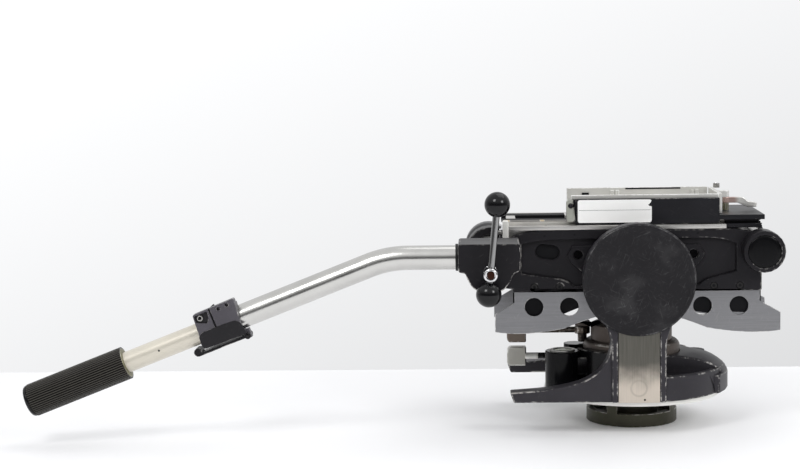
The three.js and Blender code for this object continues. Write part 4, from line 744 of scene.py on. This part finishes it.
def grown(name, tree, points, finish, body, **values):
    """A plain mesh piece grown by a geometry tree from points in space."""
    seed = bpy.data.meshes.new(name)
    seed.from_pydata(points, [], [])
    made = linked(name, seed)
    grower = made.modifiers.new("Grow", "NODES")
    grower.node_group = tree
    values["Material"] = FINISHES[finish]
    for item in tree.interface.items_tree:
        label = item.name.replace(" ", "_")
        if item.in_out == "INPUT" and label in values:
            grower[item.identifier] = values[label]
    made = settled(made)
    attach(made, body)
    return made


def screw_heads(name, sign, points, radius, height, finish, body="platform", share=0.5):
    """Screw heads that face the near side, the far side or up, for the sign -1, 1 or 0."""
    grown(name, screws_tree(), points, finish, body, Radius=radius, Height=height,
          Socket_share=share, Turn=(-sign * math.pi / 2, 0, 0))


def ribs_tree():
    """Fluted bar: a section of broad ribs and narrow grooves carried along a straight line."""
    tree = bpy.data.node_groups.get("Flutes")
    if tree:
        return tree
    tree, start, end = geometry_tree("Flutes", [
        ("Count", "NodeSocketInt", 40), ("Radius", "NodeSocketFloat", 0.016),
        ("Depth", "NodeSocketFloat", 0.0008),
        ("From", "NodeSocketVector", (0, 0, 0)), ("To", "NodeSocketVector", (0, 0, 0.1)),
        ("Material", "NodeSocketMaterial", None)])
    given = start.outputs
    rim = put(tree, "GeometryNodeCurvePrimitiveCircle", None, Resolution=maths(tree, "MULTIPLY", given["Count"], 8),
              Radius=given["Radius"])
    share = put(tree, "GeometryNodeSplineParameter").outputs["Factor"]
    wave = maths(tree, "COSINE", maths(tree, "MULTIPLY", maths(tree, "MULTIPLY", share, given["Count"]), math.pi))
    groove = maths(tree, "POWER", maths(tree, "ABSOLUTE", wave), 5.0)
    sunk = maths(tree, "MULTIPLY", groove, maths(tree, "DIVIDE", given["Depth"], given["Radius"]))
    drawn = put(tree, "ShaderNodeVectorMath", {"operation": "SCALE"}, i0=put(
        tree, "GeometryNodeInputPosition").outputs[0], Scale=maths(tree, "SUBTRACT", 1.0, sunk))
    soft = put(tree, "GeometryNodeSetPosition", None, Geometry=rim.outputs[0], Position=drawn.outputs[0])
    path = put(tree, "GeometryNodeCurvePrimitiveLine", None, Start=given["From"], End=given["To"])
    skin = put(tree, "GeometryNodeCurveToMesh", None, Curve=path.outputs[0], Profile_Curve=soft.outputs[0],
               Fill_Caps=True)
    return end_tree(tree, start, end, skin.outputs[0])


# Pieces

class BaseOperator(bpy.types.Operator):
    """Ring, flange and what they carry under the head"""
    bl_idname = "head.base"
    bl_label = "Base ring and flange"

    def execute(self, context):
        refined("spigot_ring", "ring", "base", 0.0007)
        refined("base_flange", "silver", "base", 0.0006)
        refined("pan_shaft", "steel", "base", sizes().plate_edge)
        return {"FINISHED"}


class CastingOperator(bpy.types.Operator):
    """Yoke and base casting with its face plates and drum covers"""
    bl_idname = "head.casting"
    bl_label = "Yoke casting"

    def execute(self, context):
        refined("yoke_casting", "casting", "pan_body", sizes().casting_edge)
        for side, sign in SIDES:
            refined(f"yoke_face_plate_{side}", "upright", "pan_body", 0.0003)
            screw_heads(f"face_dot_{side}", sign, [(0.0055, sign * 0.0943, 0.0383)], 0.0010, 0.0003,
                        "deep", "pan_body")
            profile = [(0, 0.0928), (0.0483, 0.0928), (0.0483, 0.0943), (0.0560, 0.0943), (0.0560, 0.0964),
                       (0.0548, 0.0976), (0.0505, 0.0976), (0.0500, 0.0973), (0.0495, 0.0976), (0, 0.0976)]
            turned_piece(f"drum_cover_{side}_piece", profile, "cover", "pan_body", (f"drum_cover_{side}",),
                         (0, sign, 0), TILT_AXIS, width=0.0005, facets=160)
        return {"FINISHED"}


class HousingOperator(bpy.types.Operator):
    """Pan housing, spirit level, post, brake levers and drag knob"""
    bl_idname = "head.housing"
    bl_label = "Housing, level and brakes"

    def execute(self, context):
        refined("pan_housing", "housing", "pan_body", sizes().casting_edge)
        refined("level_bezel", "steel", "pan_body", 0.0004)
        refined("level_vial", "glass", "pan_body", 0.0002)
        refined("brake_post", "casting", "pan_body", sizes().plate_edge)
        self.pan_lever("pan_brake_lever_piece", "casting", False)
        self.pan_lever("pan_paddle", "paddle", True)
        turned_piece("pan_brake_pin", [(0, 0), (0.0028, 0), (0.0028, 0.0135), (0, 0.0135)], "silver", "pan_brake",
                     (), (1, 0, 0), (-0.1103, 0.0058, 0.0655), width=0.0004, facets=32)
        # The level's pod gets a gloss black shell: its gloss is the real pod's, its black is painted shade.
        skin = [(0.0169, 0.0365), (0.0177, 0.0365), (0.0177, 0.0770), (0.0170, 0.0777), (0.0131, 0.0777),
                (0.0131, 0.0766), (0.0169, 0.0766)]
        turned_piece("level_pod", skin, "pod", "pan_body", (), (0, 0, 1), (-0.073, -0.030, 0), width=0.0003)
        refined("tilt_brake_lever", "tan", "tilt_brake", 0.0014, 3)
        refined("pan_drag_knob", "matt", "pan_drag", 0.0004)
        return {"FINISHED"}

    def pan_lever(self, name, finish, paddle):
        """The paddle of the pan brake lever, or the arm ahead of it."""
        bm = cleaned_copy("pan_brake_lever")
        worn_bevel(bm, 0.0014, 3)
        cut = bmesh.ops.bisect_plane(
            bm, geom=bm.verts[:] + bm.edges[:] + bm.faces[:], plane_co=(-0.1102, 0, 0),
            plane_no=(1, 0, 0), clear_outer=paddle, clear_inner=not paddle)
        rim = [e for e in cut["geom_cut"] if isinstance(e, bmesh.types.BMEdge)]
        bmesh.ops.holes_fill(bm, edges=rim)
        bmesh.ops.recalc_face_normals(bm, faces=bm.faces)
        piece(bm, name, finish, "pan_brake", ("pan_brake_lever",), 0)


class PlatformOperator(bpy.types.Operator):
    """Side frames and plates, bosses, deck and front block"""
    bl_idname = "head.platform"
    bl_label = "Platform"

    def execute(self, context):
        for side, sign in SIDES:
            refined(f"side_frame_{side}", "frame", "platform", sizes().casting_edge)
            refined(f"side_plate_{side}", "plate", "platform", 0.0005)
            plug = [(0, 0.0721), (0.0161, 0.0721), (0.0161, 0.0770), (0.0152, 0.0777), (0.0120, 0.0780), (0, 0.0781)]
            turned_piece(f"front_plug_{side}_piece", plug, "plug", "platform", (f"front_plug_{side}",), (0, sign, 0),
                         FRONT_AXIS, width=0)
            face = sign * (FRAME_FACE - 0.0012)
            ledge = [(x, face, 0.1474) for x in (-0.102, -0.0766, 0.0777, 0.1037)]
            # The black rims and sockets are painted shade: the dark gap round each head and the dark hole of its
            # socket.
            for name, radius, height, finish in (("rims", 0.0043, 0.0002, "deep"),
                                                 ("heads", 0.0031, 0.0012, "screw"),
                                                 ("sockets", 0.0015, 0.0013, "deep")):
                screw_heads(f"ledge_{name}_{side}", sign, ledge, radius, height, finish, share=0.2)
            # Painted shade behind the holes of the side plates.
            self.liners(side, sign)
            dots = [(x, sign * FRAME_FACE, z)
                    for x, z in ((-0.0916, 0.1992), (-0.0616, 0.2001), (0.0615, 0.2007))]
            screw_heads(f"frame_dots_{side}", sign, dots, 0.0010, 0.0003, "deep")
        self.rear_pieces()
        refined("tilt_axle", "steel", "platform", 0.0004)
        refined("spring_barrel", "housing", "platform", 0.0006)
        refined("rear_cross_tube", "steel", "platform", 0.0004)
        refined("front_cross_tube", "steel", "platform", 0.0004)
        refined("rear_rosette", "chrome", "platform", 0.0002)
        refined("rear_cap_far", "block_cover", "platform", 0.0016, 3)
        refined("deck", "deck", "platform", sizes().plate_edge)
        refined("front_block", "anodised", "platform", 0.0004)
        refined("slide_lock_lever", "chrome", "slide_lock", 0.0005)
        return {"FINISHED"}

    def liners(self, side, sign):
        """Black sheets behind the holes of the side plates: painted shade for the dark space between the plates."""
        face = sign * 0.0488
        rear = ((-0.1215, 0.1102), (-0.081, 0.1139), (-0.0728, 0.118), (-0.0556, 0.125), (-0.0454, 0.129),
                (-0.0385, 0.131), (-0.0385, 0.152), (-0.1215, 0.152))
        front = ((0.0385, 0.134), (0.0486, 0.1281), (0.0577, 0.1204), (0.0718, 0.1182), (0.097, 0.119),
                 (0.112, 0.1183), (0.126, 0.1202), (0.126, 0.152), (0.0385, 0.152))
        for end, outline in (("rear", rear), ("front", front)):
            piece(slab(outline, face, face - sign * 0.001), f"liner_{end}_{side}", "deep", "platform", width=0)

    def rear_pieces(self):
        """Sheets and small fittings on the open rear of the deck."""
        for name, low, high, finish in (
                # The black deck sheets are painted shade for the dark rear of the deck.
                ("deck_sheet_near", (-0.134, -0.0300, 0.2127), (-0.0676, -0.0165, 0.21285), "deep"),
                ("deck_sheet_wall", (-0.134, 0.0156, 0.2094), (-0.0676, 0.0159, 0.2127), "deep"),
                ("deck_sheet_channel", (-0.134, -0.0158, 0.2092), (-0.0676, 0.0158, 0.2094), "deep"),
                ("deck_sheet_far", (-0.134, 0.0165, 0.2127), (-0.0676, 0.0380, 0.21285), "deep"),
                ("deck_pad_rear", (-0.1255, -0.0466, 0.2127), (-0.0955, -0.0310, 0.21285), "bronze"),
                ("deck_pad_front", (-0.0905, -0.0466, 0.2127), (-0.0676, -0.0310, 0.21285), "bronze"),
                ("deck_clip_rear", (-0.1315, -0.0466, 0.2127), (-0.1262, -0.0310, 0.21285), "gold"),
                ("deck_clip_front", (-0.0949, -0.0466, 0.2127), (-0.0910, -0.0310, 0.21285), "gold"),
                # The window sheets are painted shade: black behind the oval windows of the frames.
                ("window_liner_near", (-0.103, -0.0515, 0.168), (-0.072, -0.0505, 0.195), "deep"),
                ("window_liner_far", (-0.103, 0.0505, 0.168), (-0.072, 0.0515, 0.195), "deep")):
            box_piece(name, low, high, finish, "platform", 0.00004)
        box_piece("deck_lug", (-0.1335, -0.0625, 0.197), (-0.1275, -0.054, 0.2150), "silver", "platform", 0.0010)
        box_piece("deck_lug_stud", (-0.1395, -0.0620, 0.2075), (-0.1345, -0.0560, 0.2112), "chrome", "platform", 0.0010)
        box_piece("deck_lug_foot", (-0.1400, -0.0630, 0.2010), (-0.1345, -0.056, 0.2050), "steel", "platform", 0.0010)
        screw_heads("deck_screw", 0, [(-0.0895, -0.0540, 0.2092)], 0.0022, 0.0004, "chrome")


class SlideOperator(bpy.types.Operator):
    """Sliding plate, adapter tray and their small moving pieces"""
    bl_idname = "head.slide"
    bl_label = "Sliding plate and adapter"

    def execute(self, context):
        refined("slide_plate", "anodised", "slide", sizes().plate_edge)
        refined("adapter_tray", "tray", "slide", sizes().plate_edge)
        refined("adapter_end_block", "tray", "slide", sizes().plate_edge)
        refined("lever_pivot_nut", "nut", "slide", 0.0003)
        self.tray_details()
        refined("adapter_lever", "lever", "adapter_lever", 0.0006)
        refined("thumb_catch", "catch", "thumb_catch", 0.0006)
        return {"FINISHED"}

    def tray_details(self):
        """Slot and latch on the tray's far wall, and the knurled screw on its end block."""
        # The slot is a black strip: painted shade in the slot.
        box_piece("tray_slot", (-0.0023, 0.0425, 0.2366), (0.0555, 0.0429, 0.2382), "deep", "slide", 0.00008)
        box_piece("tray_latch", (-0.0482, 0.0410, 0.2290), (-0.0407, 0.0430, 0.2335), "deep", "slide", 0.0003)
        box_piece("tray_latch_tongue", (-0.0470, 0.0404, 0.2290), (-0.0420, 0.0412, 0.2312), "tray", "slide", 0.0002)
        foot, head = Vector((0.0915, 0.030, 0.2384)), Vector((0.0915, 0.030, 0.2430))
        grown("end_block_screw", ribs_tree(), [(0, 0, 0)], "steel", "slide", Count=20, Radius=0.0034, Depth=0.0004,
              From=tuple(foot), To=tuple(head))
        turned_piece("end_block_screw_top", [(0, 0), (0.0026, 0), (0.0026, 0.0004), (0, 0.0004)], "chrome", "slide",
                     (), (0, 0, 1), head, width=0.0001, facets=32)


class ClampOperator(bpy.types.Operator):
    """Clamp of the pan bar, its screw and the tommy bar"""
    bl_idname = "head.clamp"
    bl_label = "Clamp and tommy bar"

    def execute(self, context):
        outline = ((-0.1775, 0.2003), (-0.1176, 0.2003), (-0.1176, 0.1757), (-0.1187, 0.1734), (-0.1241, 0.1714),
                   (-0.1273, 0.1638), (-0.1328, 0.1564), (-0.1466, 0.1485), (-0.1607, 0.1555), (-0.1648, 0.1588),
                   (-0.1691, 0.1665), (-0.1706, 0.1718), (-0.1775, 0.173))
        piece(slab(rounded(outline, 0.0022, 3), -0.137, -0.0806), "bar_clamp_piece", "clamp", "pan_bar",
              ("bar_clamp",), 0.0010, 3)
        turned_piece("hub_recess", [(0, 0.0001), (0.0037, 0.0001), (0.0037, 0.0005), (0, 0.0005)], "rust",
                     "clamp_screw", (), (0, -1, 0), (-0.1465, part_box("clamp_screw")[0][1], 0.1728), width=0,
                     facets=32)
        refined("bar_collar", "matt", "pan_bar", 0.0004)
        refined("clamp_screw", "chrome", "clamp_screw", 0.0004)
        reach, low = 0.0674, -0.0196
        turned_piece("tommy_rod_piece", [(0, low), (0.0034, low), (0.0034, reach), (0, reach)], "dark_chrome",
                     "tommy_bar", ("tommy_rod",), TOMMY_UP, TOMMY_FOOT, facets=40)
        for name, centre in (("upper", reach), ("lower", low)):
            profile = [(0.0123 * math.sin(a), centre - 0.0123 * math.cos(a))
                       for a in (math.pi * i / 40 for i in range(41))]
            turned_piece(f"tommy_ball_{name}_piece", profile, "plastic", "tommy_bar", (f"tommy_ball_{name}",),
                         TOMMY_UP, TOMMY_FOOT, width=0)
        return {"FINISHED"}


class BarOperator(bpy.types.Operator):
    """Bent tube, telescope block and inner tube"""
    bl_idname = "head.bar"
    bl_label = "Pan bar"

    def execute(self, context):
        bm = bare_bmesh()
        outer, inner = (self.tube_rings(bm, radius) for radius in (0.0120, 0.0108))
        rings = outer + inner[::-1] + outer[:1]
        piece(skinned(bm, rings), "bar_tube_piece", "tube", "pan_bar", ("bar_tube",), 0)
        self.block()
        refined("cam_lever", "clamp", "cam_lever", 0.0006)
        end = 0.3825
        turned_piece("inner_tube_piece", [(0.008, 0.086), (0.0105, 0.086), (0.0105, end), (0.008, end)], "cream",
                     "inner_tube", ("inner_tube",), BAR_OUT, BAR_CORNER)
        turned_piece("inner_tube_dot", [(0, 0), (0.0010, 0), (0.0010, 0.0002), (0, 0.0002)], "deep", "inner_tube",
                     (), (0, -1, 0), on_bar(0.243, -0.01042, 0.0), facets=20, width=0)
        return {"FINISHED"}

    def tube_rings(self, bm, radius, facets=72, steps=24):
        """Rings of corners about the centre line of the bent tube."""
        tangent = 0.020
        stations = [(Vector((-0.1561, -0.112, 0.185)), 0.0)]
        for share in (i / steps for i in range(steps + 1)):
            start, finish = (1 - share) ** 2 * tangent, share ** 2 * tangent
            place = BAR_CORNER + Vector((start, 0, 0)) + finish * BAR_OUT
            stations.append((place, share * BAR_INCLINE))
        stations.append((BAR_CORNER + 0.174 * BAR_OUT, BAR_INCLINE))
        rings = []
        for place, turn in stations:
            rise = Vector((-math.sin(turn), 0, math.cos(turn)))
            angles = [2 * math.pi * i / facets for i in range(facets)]
            rings.append([bm.verts.new(place + Vector((0, radius * math.cos(a), 0))
                                       + radius * math.sin(a) * rise) for a in angles])
        return rings

    def block(self):
        """Telescope block with its recess, slit, holes and darker lower cover."""
        near = -0.017
        side = ((0.1975, 0.0205), (0.1537, 0.0212), (0.1560, -0.0007), (0.1573, -0.0138), (0.1981, -0.0146),
                (0.1992, -0.0014))
        body = slab([(-r, u) for r, u in rounded(side, 0.0018, 3)], near, -near)
        recess = ((0.1965, 0.0187), (0.1828, 0.0190), (0.1834, 0.0132), (0.1866, 0.0078), (0.1970, 0.0121))
        tools = [slab([(-r, u) for r, u in rounded(recess, 0.0015, 3)], near - 0.002, near + 0.0030),
                 box_bmesh((-0.1811, near - 0.002, -0.0001), (-0.1794, -near + 0.002, 0.03)),
                 box_bmesh((-0.22, -0.006, 0.0165), (-0.14, 0.03, 0.03)),
                 box_bmesh((-0.1590, 0.000, -0.03), (-0.14, 0.03, 0.03))]
        for reach, up in ((0.1713, 0.0172), (0.1622, 0.0176)):
            hole = turned([(0, -0.002), (0.0018, -0.002), (0.0018, 0.004), (0, 0.004)], 20)
            hole.transform(along((0, 1, 0), Vector((-reach, near, up))))
            tools.append(hole)
        piece(carved(body, *tools), "telescope_block_piece", "block", "pan_bar", ("telescope_block",), 0.0004,
              place=BAR_FRAME)
        piece(box_bmesh((-0.1596, -0.0044, -0.0222), (-0.1530, 0.0044, -0.0130)), "block_ear", "block", "pan_bar",
              width=0.0005, place=BAR_FRAME)
        # A black filler in the slit: painted shade.
        piece(box_bmesh((-0.1810, near + 0.0006, 0.0), (-0.1795, -near - 0.0006, 0.0204)), "block_slit", "deep",
              "pan_bar", width=0, place=BAR_FRAME)
        pin = [(0, -0.0094), (0.0019, -0.0094), (0.0019, 0.0094), (0, 0.0094)]
        turned_piece("cam_pin", pin, "screw", "pan_bar", (), (0, 1, 0), on_bar(0.1562, 0, -0.0192), width=0.0002,
                     facets=24)
        floor = slab([(-r, u) for r, u in rounded(recess, 0.0015, 3)], near + 0.0026, near + 0.0031)
        piece(floor, "block_recess_floor", "block_cover", "pan_bar", width=0, place=BAR_FRAME)
        cover = ((0.1998, -0.0015), (0.1951, 0.0015), (0.1864, 0.0014), (0.1719, 0.0014), (0.1606, 0.0007),
                 (0.1569, -0.0022), (0.1549, -0.0088), (0.1544, -0.0158), (0.1991, -0.0148), (0.2004, -0.0110))
        piece(slab([(-r, u) for r, u in rounded(cover, 0.0025, 4)], near - 0.0004, near + 0.0004), "block_cover",
              "block_cover", "pan_bar", width=0.0002, place=BAR_FRAME)
        ring = [(0, -0.0006), (0.0028, -0.0006), (0.0028, 0.0026), (0.0018, 0.0026), (0.0018, 0.0004), (0, 0.0004)]
        turned_piece("block_screw", ring, "steel", "pan_bar", (), (0, -1, 0), on_bar(0.1917, near + 0.0026, 0.0151),
                     width=0.0002, facets=32)
        # A black hexagon in the screw's socket: painted shade.
        turned_piece("block_screw_socket", [(0, 0), (0.0018, 0), (0.0018, 0.0016), (0, 0.0016)], "deep", "pan_bar", (),
                     (0, -1, 0), on_bar(0.1917, near + 0.0026, 0.0151), width=0, facets=6)
        dome = [(0, -0.004), (0.0065, -0.004), (0.0065, 0.0004), (0.0058, 0.0014), (0.0040, 0.0020), (0, 0.0024)]
        turned_piece("block_dome", dome, "block", "pan_bar", (), BAR_RISE,
                     on_bar(0.1885, 0.002, 0.0175), width=0.0003, facets=40)


class GripOperator(bpy.types.Operator):
    """Fluted grip with its collar and end cap"""
    bl_idname = "head.grip"
    bl_label = "Handle grip"

    def execute(self, context):
        own = sizes()
        start, stop = 0.2803, 0.3822
        made = grown("handle_grip_piece", ribs_tree(), [(0, 0, 0)], "grip", "inner_tube",
                     Count=own.grip_flutes, Radius=0.0166, Depth=own.flute_depth,
                     From=tuple(on_bar(start, 0, 0)), To=tuple(on_bar(stop, 0, 0)))
        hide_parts("handle_grip")
        turned_piece("grip_collar_piece", [(0.0108, 0.2794), (0.0122, 0.2794), (0.0150, 0.2800), (0.0150, 0.2806),
                                           (0.0108, 0.2806)], "nut", "inner_tube", ("grip_collar",), BAR_OUT,
                     BAR_CORNER)
        turned_piece("grip_end_cap_piece", [(0, 0.3828), (0.0160, 0.3828), (0.0160, 0.3845), (0.0152, 0.3858),
                                            (0.0140, 0.3865), (0, 0.3865)], "plastic", "inner_tube",
                     ("grip_end_cap",), BAR_OUT, BAR_CORNER)
        return {"FINISHED"}


def rounded_sheet(width, height, radius, steps=6):
    """Outline of a rounded rectangle, anticlockwise from the lower left."""
    points = []
    for cx, cy, first in ((radius, radius, math.pi), (width - radius, radius, 1.5 * math.pi),
                          (width - radius, height - radius, 0), (radius, height - radius, 0.5 * math.pi)):
        for i in range(steps + 1):
            angle = first + 0.5 * math.pi * i / steps
            points.append((cx + radius * math.cos(angle), cy + radius * math.sin(angle)))
    return points


class StickerOperator(bpy.types.Operator):
    """Bare white sticker on the channel, with a thin divider line and a torn edge"""
    bl_idname = "head.sticker"
    bl_label = "Sticker"

    def execute(self, context):
        left, low, face = -0.0578, 0.2114, -0.05402
        whole = rounded_sheet(0.0740, 0.0230, 0.0022)
        torn = [(0.0740, 0.0158), (0.0729, 0.0164), (0.0718, 0.0163), (0.0703, 0.0176), (0.0716, 0.0184),
                (0.0722, 0.0194), (0.0731, 0.0200), (0.0731, 0.0206)]
        spot = max(i for i, point in enumerate(whole) if point[0] > 0.0739)
        outline = [(left + x, low + z) for x, z in whole[:spot] + torn + whole[spot + 1:]]
        piece(slab(outline, face - 0.0002, face), "white_sticker", "vinyl", "slide", width=0)
        box_piece("sticker_divider", (left + 0.0012, face - 0.00028, low + 0.0124),
                  (left + 0.0728, face - 0.00019, low + 0.0127), "deep", "slide", 0.00003)
        return {"FINISHED"}


# Studio

class StudioOperator(bpy.types.Operator):
    """White table, soft lights and the camera"""
    bl_idname = "head.studio"
    bl_label = "Studio"

    def execute(self, context):
        self.table()
        self.lights()
        self.camera(context)
        return {"FINISHED"}

    def table(self):
        mesh = bpy.data.meshes.new("table")
        bm = box_bmesh((-2.4, -2.2, -0.03), (2.4, 0.288, 0.0))
        bm.to_mesh(mesh)
        bm.free()
        tones = ((0.875, 0.875, 0.885, 1), (0.91, 0.91, 0.92, 1))
        mesh.materials.append(clouded("White table", tones, None, 300.0, 6.0, Roughness=0.55))
        linked("table", mesh)

    def lights(self):
        world = bpy.data.worlds.new("Studio")
        world.use_nodes = True
        self.room(world.node_tree)
        bpy.context.scene.world = world
        bpy.context.scene.view_settings.view_transform = "Standard"
        aim = Vector((-0.1, -0.05, 0.12))
        for name, place, size, power in (
                ("key", (-0.9, -1.3, 1.5), 0.6, 11), ("fill", (1.2, -1.3, 1.2), 0.6, 11),
                ("top", (0.5, 0.3, 1.9), 1.4, 8)):
            lamp = bpy.data.lights.new(name, "AREA")
            lamp.size = size
            lamp.energy = power
            made = linked(name, lamp)
            made.location = place
            made.rotation_euler = (aim - Vector(place)).to_track_quat("-Z", "Y").to_euler()

    def room(self, tree):
        """A pale backdrop, and a room that is dark in front, pale behind and bright overhead."""
        way = put(tree, "ShaderNodeSeparateXYZ", None, Vector=put(tree, "ShaderNodeTexCoord").outputs["Generated"])
        right, deep, up = way.outputs
        rise = maths(tree, "MULTIPLY_ADD", up, 0.9)
        rise.node.inputs[2].default_value = 0.975
        falling = maths(tree, "SUBTRACT", rise, maths(tree, "MULTIPLY", right, 0.35))
        backdrop = maths(tree, "MINIMUM", maths(tree, "MAXIMUM", falling, 0.72), 1.03)
        side = ramp(tree, deep, -0.7, 0.7, 0.11, 0.8, "SMOOTHSTEP")
        over = ramp(tree, up, 0.12, 0.6, kind="SMOOTHSTEP")
        lit = between(tree, over, side, 0.9)
        under = ramp(tree, up, -0.04, -0.2, kind="SMOOTHSTEP")
        around = between(tree, under, lit, 0.75)
        seen = put(tree, "ShaderNodeLightPath").outputs["Is Camera Ray"]
        tree.nodes["Background"].inputs["Color"].default_value = (0.985, 0.99, 1.0, 1)
        connect(tree, tree.nodes["Background"].inputs["Strength"], between(tree, seen, around, backdrop))

    def camera(self, context):
        lens = bpy.data.cameras.new("camera")
        lens.sensor_width = 36
        lens.lens = 81.268
        made = linked("camera", lens)
        turn = (Matrix.Rotation(math.radians(2.486), 4, "Z") @ Matrix.Rotation(math.radians(90 - 6.208), 4, "X")
                @ Matrix.Rotation(math.radians(-0.899), 4, "Z"))
        made.matrix_world = Matrix.Translation((-0.15824, -1.86642, 0.39906)) @ turn
        context.scene.camera = made


class HEAD_PT_panel(bpy.types.Panel):
    """Steps and sizes of the video head"""
    bl_label = "Video Head"
    bl_idname = "HEAD_PT_panel"
    bl_space_type = "VIEW_3D"
    bl_region_type = "UI"
    bl_category = "Video Head"

    def draw(self, context):
        for group in (context.scene.head_sizes, context.scene.head_colours):
            for name in group.__annotations__:
                self.layout.prop(group, name)
        for step in STEPS:
            self.layout.operator(step.bl_idname)


STEPS = (StudioOperator, BaseOperator, CastingOperator, HousingOperator, PlatformOperator, SlideOperator,
         ClampOperator, BarOperator, GripOperator, StickerOperator)
CLASSES = (HeadSizes, HeadColours, *STEPS, HEAD_PT_panel)


def register():
    for item in CLASSES:
        bpy.utils.register_class(item)
    bpy.types.Scene.head_sizes = bpy.props.PointerProperty(type=HeadSizes)
    bpy.types.Scene.head_colours = bpy.props.PointerProperty(type=HeadColours)


def unregister():
    del bpy.types.Scene.head_colours
    del bpy.types.Scene.head_sizes
    for item in reversed(CLASSES):
        bpy.utils.unregister_class(item)


def main():
    register()
    FINISHES.update(make_finishes())
    for step in STEPS:
        getattr(bpy.ops.head, step.bl_idname.split(".")[1])()


if __name__ == "__main__":
    main()
